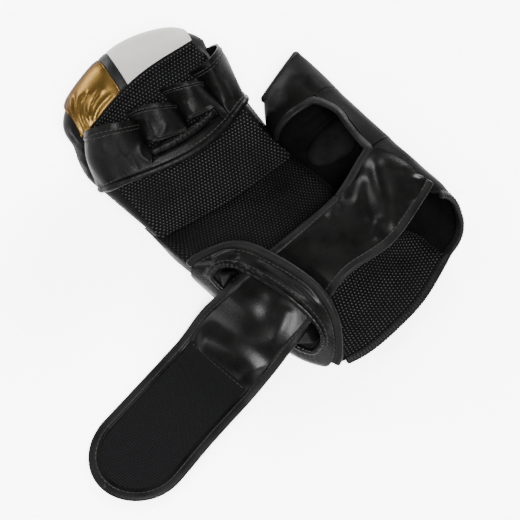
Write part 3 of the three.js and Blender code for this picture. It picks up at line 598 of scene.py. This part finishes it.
GOLD_FOLDS = [
    (1.3, 1.5, [(91, 92), (87.5, 99), (85, 112), (89, 126)]),
    (1.3, 1.6, [(81, 93), (79, 112), (84, 125), (89, 136)]),
    (1.3, 1.6, [(74, 96), (75, 113), (82, 132), (88, 144)]), (1.0, 1.6, [(69, 115), (75, 129), (84, 142)]),
    (1.0, 1.5, [(114, 92), (99, 108), (92.5, 124)]),
    (-1.5, 1.7, [(89, 92), (82.5, 105), (84, 118), (87, 130)]),
    (-1.3, 1.6, [(77, 95), (77, 112), (83, 128), (87, 139)]),
    (-1.1, 1.5, [(71, 108), (75, 121), (82, 136)]), (-1.0, 1.8, [(101, 90), (92, 104), (88, 116)]),
    (0.7, 1.4, [(106, 88), (97, 98), (91, 112)]), (0.8, 1.3, [(85, 100), (81, 110), (83, 119)]),
]
for name, slot_name, first, last, material, height in (
    ("gold_cover", "gold_leather", 1.3, 7.02, GOLD, 1.3),
    ("stripe_cover", "stripe_leather", 7.06, 8.04, STRIPE, 0.5),
    ("white_cover", "white_leather", 8.08, 16.4, WHITE, 1.0),
):
    grid, share = panel_grid(first, last)
    bumps = puffed(share, height)
    if name == "gold_cover":
        bumps = bumps + strokes(grid, GOLD_FOLDS) + 0.1 * waves(grid, 16, 3)
    else:
        bumps = bumps + 0.12 * waves(grid, 30, 4)
    cover = shell(name, grid, 1.3, 0.4, (material,), False, 0, bumps)
    dress(name.split("_")[0] + "_panel")


# Padding of the palm and wrist

t_down = np.linspace(-0.04, 1, 43)[None]
upper = palm_top(np.linspace(0, 1, 41)[:, None], t_down)
under = palm_bottom(*np.broadcast_arrays(np.linspace(1, 0, 31)[:, None], t_down))
hand_pad = closed_pad("palm_padding", np.concatenate([under, upper]), PADDING)
dress("hand_pad")


# Linings


t_rows, j_columns = places(64, 64, (0.0, 1.0), (1.9, 16.1))
finger_grid = knuckle_top(column(j_columns, t_rows), t_rows)
soft = 0.45 * waves(finger_grid, 34, 11)
hump = 1.5 * np.exp(-((t_rows - 0.035) / 0.03) ** 2) + 2.6 * smooth((t_rows - 0.84) / 0.13)
finger_lining = shell("finger_bed_lining", finger_grid, LINING, GAP, (DOTTED,), False, 0, soft + hump)
dress("finger_lining")

LINING_FOLDS = [
    (1.6, 7.0, [(225, 212), (245, 214), (275, 200), (300, 188)]),
    (-1.2, 6.0, [(205, 226), (235, 226), (270, 214)]),
]
s_columns = (0.01, 0.995)
t_rows, s_grid = places(50, 64, (-0.03, 0.592), s_columns)
palm_grid = palm_top(s_grid, t_rows)
bumps = 0.5 * waves(palm_grid, 38, 12) + strokes(palm_grid, LINING_FOLDS) - 1.6 * (1 - smooth(t_rows / 0.14))
# The palm lining uses the darker dotted lining, whose darker cloth and dots are painted shade.
palm_lining = shell("palm_sheet_lining", palm_grid, LINING, GAP, (PAINTED_SHADE_LINING,), False, 0, bumps)
dress("palm_lining")

t_rows, s_grid = places(40, 64, (0.6, 1.0), s_columns)
cuff_grid = palm_top(s_grid, t_rows)
bumps = 0.6 * waves(cuff_grid, 30, 13)
cuff_lining = shell("cuff_sheet_lining", cuff_grid, LINING, GAP, (DOTTED,), False, 0, bumps)
dress("cuff_lining")

y_rows, x_columns = places(4, 8, (-70.0, -95.0), (-8.0, 48.0))
patch_grid = np.stack([x_columns, y_rows, np.full(x_columns.shape, 1.35)], -1)
loop_patch = shell("loop_cloth", patch_grid, 1.1, materials=(LOOPS,), smooth_level=0)
dress("loop_patch")


# Finger band and loops

LOOP_ENDS = (0.0, 0.3, 0.57, 0.82, 1.0)
BAR = 0.76
BAR_ENDS = (0.31, 0.73)


def arch(x, power=0.6):
    return np.sin(np.pi * clamp(x)) ** power


def band_point(along, share, shape, turned=0.0):
    """A point of the band. share runs from its upper edge to its lower one. turned shifts the upper one."""
    s = mix(mix(0.1, 0.012, share), 1 - mix(0.06, 0.015, share), along)
    upper = mix(0.05, 0.12, along) + 0.19 * arch(along) + turned
    lower = mix(0.455, 0.53, along) + 0.12 * np.sin(np.pi * clamp(along))
    t = mix(upper, lower, share)
    a = knuckle_top(clamp(s + 0.012), t) - knuckle_top(clamp(s - 0.012), t)
    b = knuckle_top(s, t + 0.012) - knuckle_top(s, t - 0.012)
    normal = -unit(np.cross(a, b))
    tall = 22.0 * shape
    over = smooth((np.minimum(s, 1 - s) - 0.035) / 0.035)
    height = 0.5 + (LINING + 0.3) * over + mix(tall, 19.0 * arch(along), smooth(share))
    lean = 0.4 * tall * (1 - share) * (1 - along)
    return knuckle_top(s, t) + normal * height[..., None] + unit(a) * lean[..., None]


def slot_open(along):
    return smooth((along - BAR_ENDS[0] + 0.05) / 0.04) * smooth((BAR_ENDS[1] + 0.05 - along) / 0.04)


LOOP_FOLDS = [
    (0.8, 5.0, [(100, 146), (109, 153), (118, 158)]), (-0.8, 3.0, [(128, 150), (133, 160), (139, 170)]),
    (0.9, 2.6, [(138, 140), (141, 155), (152, 163)]), (0.8, 3.0, [(166, 120), (163, 131), (154, 143)]),
    (0.9, 2.5, [(205, 106), (208, 118), (202, 131)]), (0.6, 3.0, [(147, 118), (152, 128), (156, 138)]),
    (0.6, 3.0, [(186, 100), (190, 108), (196, 113)]), (-0.6, 2.5, [(118, 139), (122, 149), (130, 158)]),
    (0.7, 3.0, [(220, 80), (226, 90), (230, 100)]), (-0.7, 2.5, [(214, 86), (219, 95), (222, 106)]),
]
loop_threads = []
loop_pieces = []
for number in range(4):
    start = LOOP_ENDS[number] + (0.012 if number else 0.0)
    stop = LOOP_ENDS[number + 1] - (0.012 if number < 3 else 0.0)
    r, c = places(44, 56)
    c = (1 - np.cos(np.pi * c)) / 2
    along = mix(start, stop, c)
    lowest = mix(0.985, BAR - 0.105, slot_open(along))
    tall = arch(c, 0.36) * (1.22 - 0.42 * c)
    loop_grid = band_point(along, lowest * r, tall, (0.05, 0.15, 0.15, 0.04)[number] * (c - 0.5))
    hem = 0.7 * (1 - smooth((r - 0.13) / 0.025)) + 0.25 * np.exp(-((r - 0.006) / 0.02) ** 2)
    lip = 1.4 * smooth((r - 0.93) / 0.05) * slot_open(along)
    seam = -0.5 * np.exp(-((r - 0.165) / 0.012) ** 2)
    bumps = hem + lip + seam + strokes(loop_grid, LOOP_FOLDS) + 0.12 * waves(loop_grid, 20, 20 + number)
    loop = shell(f"finger_strap_{number + 1}", loop_grid, 1.5, 0.1, (BLACK, CLOTH), shape=bumps)
    dress(f"finger_loop_{number + 1}")
    top = loop_grid + normals_of(loop_grid) * (1.68 + bumps)[..., None]
    for row in (5, 8):
        loop_threads.append((top[row, 1:-1], normals_of(loop_grid)[row, 1:-1]))

r, along = places(14, 120)
highest = mix(0.94, BAR + 0.09, slot_open(along))
band_grid = band_point(along, mix(highest, 1.0, r), arch(along))
lip = 1.1 * (1 - smooth(r / 0.25)) * slot_open(along)
bumps = lip + 0.15 * waves(band_grid, 16, 31)
band = shell("lower_band", band_grid, 1.5, -0.25, (BLACK, CLOTH), shape=bumps)
dress("finger_band")
seam_share = mix(0.915, 0.955, np.sin(np.pi * np.linspace(0, 1, 160)))
seam_along = np.linspace(0.01, 0.99, 160)
seam_line = band_point(seam_along, seam_share, arch(seam_along))

edge_along = np.linspace(0, 1, 160)
edge = band_point(edge_along, np.ones(160), arch(edge_along))
inner_edge = band_point(edge_along, np.full(160, 0.9), arch(edge_along))
out = unit(edge - inner_edge)
lift = 0.7 * (1 - arch(edge_along))
cord_path = edge + out * 2.4 + np.outer(lift, [0, 0, 1])
wobble = 0.05 * np.random.default_rng(5).normal(size=(160, 14))
band_roll = tube("band_edge", cord_path, (0, 0, 1), 2.9, 2.6, BLACK, uneven=wobble * 0.6, smooth_level=1)
dress("band_piping")
band_up = unit(np.cross(out, np.gradient(edge, axis=0)))
band_up *= np.sign(band_up[:, 2:3])
loop_threads.append((edge - out * 1.6 + band_up * 1.75, band_up))

bar_along = np.linspace(BAR_ENDS[0] - 0.01, BAR_ENDS[1] + 0.01, 90)
bar_path = band_point(bar_along, np.full(90, BAR), arch(bar_along))
rng = np.random.default_rng(8)
crinkle = np.repeat(rng.normal(size=(45, 1)), 2, 0) * 0.05 + rng.normal(size=(90, 14)) * 0.03
grip = tube("grip_roll", bar_path, (0, 0, 1), 3.3, 3.9, BLACK, uneven=crinkle, smooth_level=1)
dress("grip_bar")


# Thumb and the cuff's thumb side: sections across, each an arc of a rounded box.
# Centre x and y, lean, half width, low, high, turn, and the arc's first and last degree.

SLEEVE = [
    (0.735, -0.045, 0.0, 0.262, 0.05, 0.72, 0, -148, 82), (0.725, 0.05, 0.0, 0.265, 0.05, 0.74, 0, -150, 74),
    (0.73, 0.116, 0.0, 0.262, 0.05, 0.74, -2, -152, 70),
    (0.745, 0.192, 0.0, 0.26, 0.05, 0.72, -11, -150, 84),
]
HOOD = [
    (0.745, 0.192, 0.0, 0.26, 0.05, 0.72, -11, -180, 180),
    (0.76, 0.244, 0.0, 0.25, 0.1, 0.69, -3, -180, 180),
    (0.79, 0.296, 0.0, 0.236, 0.22, 0.6, 8, -180, 180), (0.82, 0.338, 0.0, 0.212, 0.37, 0.5, 15, -180, 180),
]
SIDE = [
    (0.735, -0.045, 0.0, 0.26, 0.05, 0.72, 0, -148, 92),
    (0.755, -0.15, -0.03, 0.24, 0.05, 0.72, 0, -108, 92),
    (0.765, -0.236, -0.05, 0.232, 0.06, 0.72, 0, -94, 84),
    (0.765, -0.27, -0.11, 0.215, 0.12, 0.7, 0, -92, 62),
]


def section(row, share):
    x, y, lean, half, low, high, turn, first, last = row
    angle = np.radians(mix(first, last, share))
    out = half * powered(np.cos(angle), 0.8) * HAND[0]
    height = (1 + powered(np.sin(angle), 0.8)) / 2
    turn = math.radians(turn)
    return np.stack([x * HAND[0] + out * math.cos(turn),
                     (y + lean * (1 - height)) * HAND[1] + out * math.sin(turn),
                     mix(low, high, height) * HAND[2]], -1)


def sections(rows):
    def at(share, t):
        share, t = np.broadcast_arrays(np.asarray(share, float), np.asarray(t, float))
        arcs = np.stack([section(row, share.ravel()) for row in rows])
        return curve(arcs, t.ravel()).reshape(share.shape + (3,))
    return at


sleeve, hood, wall = sections(SLEEVE), sections(HOOD), sections(SIDE)

THUMB_FOLDS = [
    (1.2, 5.0, [(282, 98), (288, 84), (296, 72)]), (-1.3, 5.0, [(272, 112), (278, 100), (280, 90)]),
    (0.9, 5.0, [(307, 72), (318, 84), (330, 96)]), (-0.8, 4.0, [(298, 76), (306, 88), (318, 96)]),
    (1.2, 2.5, [(299, 126), (316, 114), (332, 103)]), (1.4, 3.0, [(317, 157), (336, 154), (355, 156)]),
    (-1.0, 3.0, [(320, 165), (335, 163), (352, 165)]), (1.0, 3.0, [(345, 118), (354, 128), (358, 142)]),
]
t_rows, shares = places(40, 96)
hood_grid = hood(shares[:, :-1], t_rows[:, :-1])
bumps = 0.7 * strokes(hood_grid, THUMB_FOLDS) + 0.15 * waves(hood_grid, 34, 41)
bumps *= smooth(np.minimum(t_rows[:, :-1], 1 - t_rows[:, :-1]) / 0.08)
hood_piece = shell("thumb_cap", hood_grid, 1.6, 0.0, (SIDES_LEATHER, CLOTH), True, 0, bumps)
dress("thumb_hood")

t_rows, shares = places(56, 64)
sleeve_grid = sleeve(shares, t_rows * 1.04)
bumps = 0.8 * strokes(sleeve_grid, THUMB_FOLDS) + 0.15 * waves(sleeve_grid, 34, 42)
sleeve_piece = shell("thumb_side", sleeve_grid, 1.6, 0.0, (SIDES_LEATHER, CLOTH), False, 0, bumps)
dress("thumb_sleeve")

t_rows, shares = places(48, 56)
wall_grid = wall(1 - shares, t_rows)
bumps = 0.4 * waves(wall_grid, 30, 43)
wall_piece = shell("cuff_side", wall_grid, 1.6, 0.0, (SIDES_LEATHER, CLOTH), False, 0, bumps)
dress("side_wall")

tip_left, tip_right = hood(np.array(0.0), np.array(1.0)), hood(np.array(0.5), np.array(1.0))
forward = unit(np.cross(tip_left - tip_right, [0, 0, 1.0]))
forward *= np.sign(forward[1])
tip_path = mix(tip_left, tip_right, np.linspace(0, 1, 40)[:, None]) + forward * 1.4
bulge = 6.4 * np.sin(np.pi * np.linspace(0.06, 0.94, 40)) ** 0.35
tip = tube("thumb_tip_seam", tip_path, (0, 0, 1), 3.3, bulge, BLACK, smooth_level=1)
dress("thumb_piping")


# Wrist strap: it crosses the wrist, dives under the flap, comes up through the slit and lies on the table

strap_net = through(on_hand([
    [[0.8, -0.04, 0.74], [0.86, -0.144, 0.78], [0.88, -0.25, 0.74]],
    [[0.7, -0.044, 0.7], [0.75, -0.16, 0.79], [0.77, -0.264, 0.74]],
    [[0.42, -0.076, 0.59], [0.43, -0.19, 0.72], [0.41, -0.3, 0.74]],
    [[0.1, -0.078, 0.58], [0.09, -0.18, 0.66], [0.08, -0.28, 0.7]],
    [[-0.15, -0.064, 0.5], [-0.14, -0.18, 0.52], [-0.13, -0.286, 0.5]],
    [[-0.33, -0.055, 0.43], [-0.31, -0.18, 0.44], [-0.27, -0.3, 0.4]],
    [[-0.5, -0.05, 0.39], [-0.48, -0.176, 0.37], [-0.44, -0.304, 0.3]],
    [[-0.67, -0.034, 0.19], [-0.65, -0.17, 0.18], [-0.61, -0.31, 0.13]],
    [[-0.9, -0.042, 0.012], [-0.88, -0.182, 0.012], [-0.85, -0.318, 0.005]],
    [[-1.25, -0.06, 0.005], [-1.22, -0.196, 0.005], [-1.18, -0.332, 0.005]],
    [[-1.6, -0.076, 0.005], [-1.56, -0.214, 0.005], [-1.51, -0.352, 0.005]],
    [[-1.93, -0.088, 0.005], [-1.88, -0.226, 0.005], [-1.82, -0.364, 0.005]],
]))
TIP = 0.095
TAPE = 6.5 / 34


def strap_surface(s, t):
    point = strap_net(s, t)
    point[..., 2] = np.maximum(0.25, point[..., 2])
    return point


def strap_half(t, edge):
    past = np.clip((t - (1 - TIP)) / (TIP * (1 - edge)), 0, 1)
    return (1 - edge) * np.sqrt(1 - past ** 2) / 2


def strap_places(count, edge, first=0.004):
    """Places along the strap, closer together where it turns at the tip."""
    turn = 24
    straight = np.linspace(first, 1 - TIP, count)
    bend = np.sin(np.linspace(0, np.pi / 2, turn + 1)[1:])
    return np.concatenate([straight, 1 - TIP + TIP * (1 - edge) * bend])


def strap_grid(count, edge, columns, first=0.004):
    t = strap_places(count, edge, first)[:, None]
    c = np.linspace(-1, 1, columns)[None]
    half = np.maximum(strap_half(t, edge), 0.004)
    return strap_surface(0.5 + c * half, t + 0 * c)


STRAP_FOLDS = [
    (2.8, 8.0, [(375, 156), (381, 183), (389, 207), (393, 236)]),
    (-2.0, 8.0, [(357, 168), (366, 196), (374, 226)]),
    (1.3, 5.0, [(363, 178), (360, 206)]), (1.0, 5.0, [(349, 184), (345, 200)]),
    (1.3, 5.0, [(380, 218), (374, 243)]), (1.7, 7.0, [(417, 176), (414, 206)]),
    (-1.7, 8.0, [(400, 168), (404, 200), (403, 226)]), (1.0, 5.0, [(338, 204), (330, 220)]),
    (0.9, 10.0, [(302, 234), (288, 256)]), (1.2, 7.0, [(290, 306), (282, 326), (272, 346)]),
    (4.6, 15.0, [(196, 334), (222, 345), (246, 359), (262, 380)]),
    (-1.4, 10.0, [(274, 292), (262, 322), (256, 342)]),
]
panel = strap_grid(190, TAPE * 0.9, 44)
bumps = 0.9 * strokes(panel, STRAP_FOLDS) + 0.05 * waves(panel, 60, 51)
bumps = bumps * mix(1.0, 0.3, smooth((np.arange(len(panel)) / len(panel) - 0.7) / 0.1))[:, None]
bumps = np.maximum(bumps, 0) + np.minimum(bumps, 0) * 0.8
strap = shell("strap_panel", panel, 2.4, 0.1, (SMOOTH, CLOTH), False, 0, bumps)
dress("wrist_strap")


def strap_edge(side, edge, first=0.004, count=190):
    t = strap_places(count, edge, first)
    return strap_surface(0.5 + side * strap_half(t, edge), t)


TAPE_START = 0.185
middle = np.concatenate([strap_edge(1, TAPE * 0.5), strap_edge(-1, TAPE * 0.5, TAPE_START)[-2::-1]])
outer = np.concatenate([strap_edge(1, 0.0), strap_edge(-1, 0.0, TAPE_START)[-2::-1]])
tape_up = unit(np.cross(np.gradient(middle, axis=0), outer - middle))
tape_up *= np.where((tape_up @ np.array([0, 0, 1.0])) < -0.3, -1, 1)[:, None]
middle = middle + tape_up * 1.9
middle[:, 2] = np.maximum(middle[:, 2], 2.1)
TAPE_POINTS = 420
run = run_of(middle)
want = np.linspace(0, run[-1], TAPE_POINTS)
middle, tape_up = picked(middle, run, want), unit(picked(tape_up, run, want))
fuzz = np.random.default_rng(9).normal(size=(TAPE_POINTS, 14)) * 0.012
strap_tape = tube("strap_tape", middle, tape_up, 3.4, 1.75, TAPE_CLOTH, power=0.72, uneven=fuzz,
                  smooth_level=1)
dress("strap_binding")
_, tape_side, _ = rails(middle, tape_up, False)
centre_line = strap_surface(np.full(TAPE_POINTS, 0.5), np.linspace(0, 1, TAPE_POINTS))
gap_to = np.linalg.norm(middle[:, None] + tape_side[:, None] - centre_line[None], axis=-1).min(1)
gap_other = np.linalg.norm(middle[:, None] - tape_side[:, None] - centre_line[None], axis=-1).min(1)
toward = np.where(gap_to < gap_other, 1.0, -1.0)[:, None] * tape_side
strap_threads = [(middle + toward * 2.1 + tape_up * 1.62, tape_up)]

hook_rows = strap_places(110, TAPE + 0.03, 0.705)[:, None]
c = np.linspace(-1, 1, 40)[None]
hook_grid = strap_surface(0.5 + c * np.maximum(strap_half(hook_rows, TAPE + 0.05), 0.004), hook_rows + 0 * c)
hooks = shell("hook_cloth", hook_grid, 1.3, 2.7, (HOOKS,), shape=0.12 * waves(hook_grid, 30, 52))
dress("hook_patch")
hook_up = normals_of(hook_grid)
hook_top = hook_grid + hook_up * 4.05
strap_threads.append((hook_top[2, 1:-1], hook_up[2, 1:-1]))


# Slot flap: it rises from the little-finger side, over the strap, to its piped edge

flap_surface = through(on_hand([
    [[-0.565, 0.06, 0.18], [-0.565, 0.062, 0.3], [-0.54, 0.066, 0.38], [-0.48, 0.07, 0.43]],
    [[-0.545, -0.01, 0.16], [-0.525, -0.01, 0.31], [-0.41, -0.008, 0.5], [-0.29, 0.004, 0.58]],
    [[-0.515, -0.11, 0.11], [-0.49, -0.11, 0.26], [-0.34, -0.112, 0.54], [-0.2, -0.1, 0.66]],
    [[-0.465, -0.22, 0.07], [-0.445, -0.226, 0.21], [-0.29, -0.23, 0.52], [-0.14, -0.22, 0.66]],
    [[-0.405, -0.32, 0.06], [-0.39, -0.33, 0.16], [-0.26, -0.335, 0.42], [-0.16, -0.32, 0.57]],
    [[-0.33, -0.39, 0.06], [-0.315, -0.396, 0.12], [-0.285, -0.4, 0.2], [-0.25, -0.4, 0.27]],
]))


def flap_point(ring, turn):
    angle = 2 * np.pi * turn
    inner = (0.56 + 0.17 * powered(np.cos(angle), 0.6), 0.5 + 0.34 * powered(np.sin(angle), 0.7))
    outer = (0.5 + 0.5 * powered(np.cos(angle), 0.45), 0.5 + 0.5 * powered(np.sin(angle), 0.45))
    return flap_surface(mix(inner[0], outer[0], ring), mix(inner[1], outer[1], ring))


FLAP_FOLDS = [
    (1.2, 2.6, [(262, 260), (285, 273), (305, 288), (322, 308)]),
    (-0.9, 2.4, [(256, 262), (280, 276), (312, 300)]),
    (1.3, 3.0, [(212, 262), (226, 254), (242, 253)]), (-1.0, 2.6, [(218, 268), (228, 262), (240, 258)]),
    (1.4, 3.5, [(318, 330), (320, 342), (312, 352)]), (1.0, 3.0, [(205, 270), (218, 280)]),
]
SIDES = 168
ring, turn = np.meshgrid(np.linspace(0.1, 0.985, 24), -np.arange(SIDES) / SIDES, indexing="ij")
flap_grid = flap_point(ring, turn)
curl_ring, curl_turn = np.meshgrid(np.linspace(-0.75, 0.12, 14), -np.arange(SIDES) / SIDES, indexing="ij")
pucker = 0.55 * np.sin(turn * 2 * np.pi * 31 + 2 * np.sin(turn * 40)) * np.exp(-(ring - 0.1) / 0.22)
bumps = strokes(flap_grid, FLAP_FOLDS) + pucker * 0.4 + 0.12 * waves(flap_grid, 26, 61)
flap = shell("strap_slot_flap", flap_grid, 1.6, 0.0, (SMOOTH, CLOTH), ring=True, shape=bumps)
dress("slot_flap")


def beside_flap(row, following, reach, rise):
    up = normals_of(flap_grid, True)[row]
    rim = flap_grid[row]
    out = unit(np.cross(np.roll(rim, -1, 0) - np.roll(rim, 1, 0), up))
    out *= np.sign(np.einsum("ij,ij->i", out, rim - flap_grid[following]))[:, None]
    return rim + out * reach + up * rise, up


welt_path, welt_up = beside_flap(0, 2, 1.6, 1.0)
sunk = (0.12 - curl_ring) * 26
at_ends = np.abs(np.sin(2 * np.pi * curl_turn)) ** 2.5
curl_grid = flap_point(mix(0.12, curl_ring, at_ends), curl_turn)
curl_grid = curl_grid - normals_of(curl_grid, True) * (sunk * 0.6 * at_ends)[..., None]
curls = shell("slot_curls", curl_grid, 1.2, -0.4, (PADDING,), ring=True)
lumps = np.random.default_rng(6).normal(size=(SIDES, 12)) * 0.03
lumps += 0.10 * np.sin(np.arange(SIDES) * 1.9)[:, None]
welt = tube("slot_welt", welt_path, welt_up, 2.3, 2.1, SMOOTH, 12, True, uneven=lumps, smooth_level=1)
dress("slit_welt")

piping_path, piping_up = beside_flap(-1, -3, 2.9, 0.9)
reach = int(SIDES * 8.6 / 36)
order = np.r_[SIDES - reach:SIDES, 0:reach + 1]
piping = tube("flap_edge_tape", piping_path[order], piping_up[order], 3.0, 2.6, TAPE_CLOTH, power=0.85,
              smooth_level=1)
dress("flap_piping")
flap_threads = []
for row, sink in ((-4, 1.68), (4, 1.68)):
    up = normals_of(flap_grid, True)[row]
    rim = flap_grid[row] + up * (sink + bumps[row])[:, None]
    flap_threads.append((rim[order] if row < 0 else np.concatenate([rim, rim[:1]]),
                         up[order] if row < 0 else np.concatenate([up, up[:1]])))


# Bindings of the thumb's opening and of the cuff

def tape_beside(surface, s, t, in_s, in_t, reach):
    """Middle line and normals of a tape beside an edge of a surface."""
    rim = surface(s, t)
    out = unit(rim - surface(s + in_s * 0.02, t + in_t * 0.02))
    along = surface(s + in_t * 0.02, t + in_s * 0.02) - surface(s - in_t * 0.02, t - in_s * 0.02)
    return rim + out * reach, unit(np.cross(out, along))


def tape_along(name, parts, half_width, half_height, count, uneven=0.0, seed=1):
    """A tape along a few stretches of (path, up) joined into one smooth line."""
    path = np.concatenate([part[0] for part in parts])
    up = np.concatenate([part[1] for part in parts])
    for k in range(1, len(up)):
        if up[k] @ up[k - 1] < 0:
            up[k] = -up[k]
    run = run_of(path)
    knots = np.linspace(0, run[-1], max(8, count // 9))
    path, up = picked(path, run, knots), unit(picked(up, run, knots))
    path, up = line(path, count), unit(line(up, count))
    rng = np.random.default_rng(seed)
    shape = rng.normal(size=(count, 14)) * 0.012 + uneven * np.sin(np.arange(count) * 1.35)[:, None]
    piece = tube(name, path, up, half_width, half_height, TAPE_CLOTH, power=0.72, uneven=shape,
                 smooth_level=1)
    return piece, path, up


share = np.linspace(1.0, 0.74, 24)
mouth = tape_beside(hood, share, np.zeros(24), 0, 1, 2.2)
down = np.linspace(0.9, 0.14, 24)
opening = tape_beside(sleeve, np.ones(24), down, -1, 0, 2.2)
over = np.linspace(0.05, TAPE_START - 0.004, 16)
lap = strap_surface(np.full(16, TAPE / 4), over)
lap_up = unit(np.cross(strap_surface(0.52, over) - strap_surface(0.48, over),
                       strap_surface(0.5, over + 0.01) - strap_surface(0.5, over - 0.01)))
lap_up *= np.sign(lap_up[:, 2:3])
strap_part = (lap + lap_up * 1.9, lap_up)
thumb_tape, thumb_path, thumb_up = tape_along("thumb_tape", [mouth, opening, strap_part], 3.3, 1.9, 240)
dress("thumb_binding")

share = np.linspace(1.0, 0.06, 40)
rim_wall = tape_beside(wall, share, np.ones(40), 0, -1, 2.4)
rim_palm = tape_beside(palm_top, np.linspace(0.97, 0.06, 60), np.ones(60), 0, -1, 2.4)
cuff_tape, cuff_path, cuff_up = tape_along("cuff_tape", [rim_wall, rim_palm], 3.3, 2.2, 330, 0.05, 7)
dress("cuff_binding")


# The oval pad inside the thumb

PAD_SIDES = 48
angle = np.linspace(0, 2 * np.pi, PAD_SIDES + 1)[:-1]
rings = np.linspace(0.02, 1, 14)
where_s = 0.40 + 0.22 * rings[:, None] * np.cos(angle)
where_t = 0.62 + 0.3 * rings[:, None] * np.sin(angle)
base = sleeve(where_s, where_t)
toward_middle = -unit(np.cross(sleeve(where_s, where_t + 0.01) - sleeve(where_s, where_t - 0.01),
                               sleeve(where_s + 0.01, where_t) - sleeve(where_s - 0.01, where_t)))
dome = base + toward_middle * (0.7 + 6.6 * np.sqrt(np.maximum(0.02, 1 - rings ** 2)))[:, None, None]
bottom = base + toward_middle * 0.5
grid = np.concatenate([dome, bottom[::-1]])
ends = [list(range(PAD_SIDES))[::-1], list(range((len(grid) - 1) * PAD_SIDES, len(grid) * PAD_SIDES))]
faces = quads(len(grid), PAD_SIDES, True).tolist() + ends
thumb_pad = build("thumb_oval_pad", grid.reshape(-1, 3), faces, [PAD_CLOTH], smooth_level=1)
dress("thumb_pad")


# Thread

stitches("loop_stitches", loop_threads)
stitches("strap_stitches", strap_threads, 0.26)
stitches("flap_stitches", flap_threads)
SEAMS = ((thumb_path, thumb_up, 1, 1.75), (cuff_path, cuff_up, 1, 2.0), (cuff_path, cuff_up, -1, 2.0))
stitches("tape_stitches", [(path + rails(path, up, False)[1] * way * 2.0 + up * rise, up)
                           for path, up, way, rise in SEAMS])


# Floor, lights and camera

bpy.ops.mesh.primitive_plane_add(size=12, location=(0, 0, 0))
floor = bpy.context.object
floor.name = "floor"
ground = bpy.data.materials.new("floor_white")
ground.use_nodes = True
paper = ground.node_tree.nodes["Principled BSDF"]
paper.inputs["Base Color"].default_value = (0.86, 0.86, 0.865, 1)
paper.inputs["Roughness"].default_value = 0.9
paper.inputs["Specular IOR Level"].default_value = 0.1
paper.inputs["Emission Color"].default_value = (1, 1, 1, 1)
paper.inputs["Emission Strength"].default_value = 2.2
floor.data.materials.append(ground)

world = bpy.context.scene.world or bpy.data.worlds.new("studio")
bpy.context.scene.world = world
world.use_nodes = True
world.node_tree.nodes["Background"].inputs["Color"].default_value = (1, 1, 1, 1)
world.node_tree.nodes["Background"].inputs["Strength"].default_value = 0.22


def light(name, place, size, power, look=(0.0, 0.0, 0.02)):
    lamp = bpy.data.lights.new(name, "AREA")
    lamp.shape = "RECTANGLE"
    lamp.size, lamp.size_y = size
    lamp.energy = power
    made = bpy.data.objects.new(name, lamp)
    bpy.context.scene.collection.objects.link(made)
    away = unit(np.array(place) - np.array(look))
    side = unit(np.cross([0, 0, 1.0], away))
    top = np.cross(away, side)
    made.matrix_world = Matrix([[side[k], top[k], away[k], place[k]] for k in range(3)] + [[0, 0, 0, 1]])


def from_view(right, up, back):
    """A place beside the camera's axis, in metres from the target."""
    return (TARGET * MM + RIGHT * right + UP * up + BACK * back).tolist()


light("key_softbox", from_view(0.45, 1.15, 0.12), (0.7, 0.4), 60)
light("upper_left_softbox", from_view(-0.9, 0.9, 0.15), (0.6, 0.45), 38)
light("left_fill", from_view(-1.2, -0.25, 0.75), (0.5, 0.7), 26)
light("front_fill", from_view(0.3, -0.95, 0.95), (0.7, 0.5), 20)
light("overhead", from_view(0.1, -0.1, 1.5), (0.5, 0.5), 110)

lens = bpy.data.cameras.new("camera")
SENSOR = 36.0
lens.sensor_width = SENSOR
lens.lens = SENSOR * FOCAL / (2 * MIDDLE)
lens.clip_start, lens.clip_end = 0.01, 50
camera = bpy.data.objects.new("camera", lens)
bpy.context.scene.collection.objects.link(camera)
camera.matrix_world = Matrix([[RIGHT[k], UP[k], BACK[k], EYE[k] * MM] for k in range(3)] + [[0, 0, 0, 1]])
bpy.context.scene.camera = camera
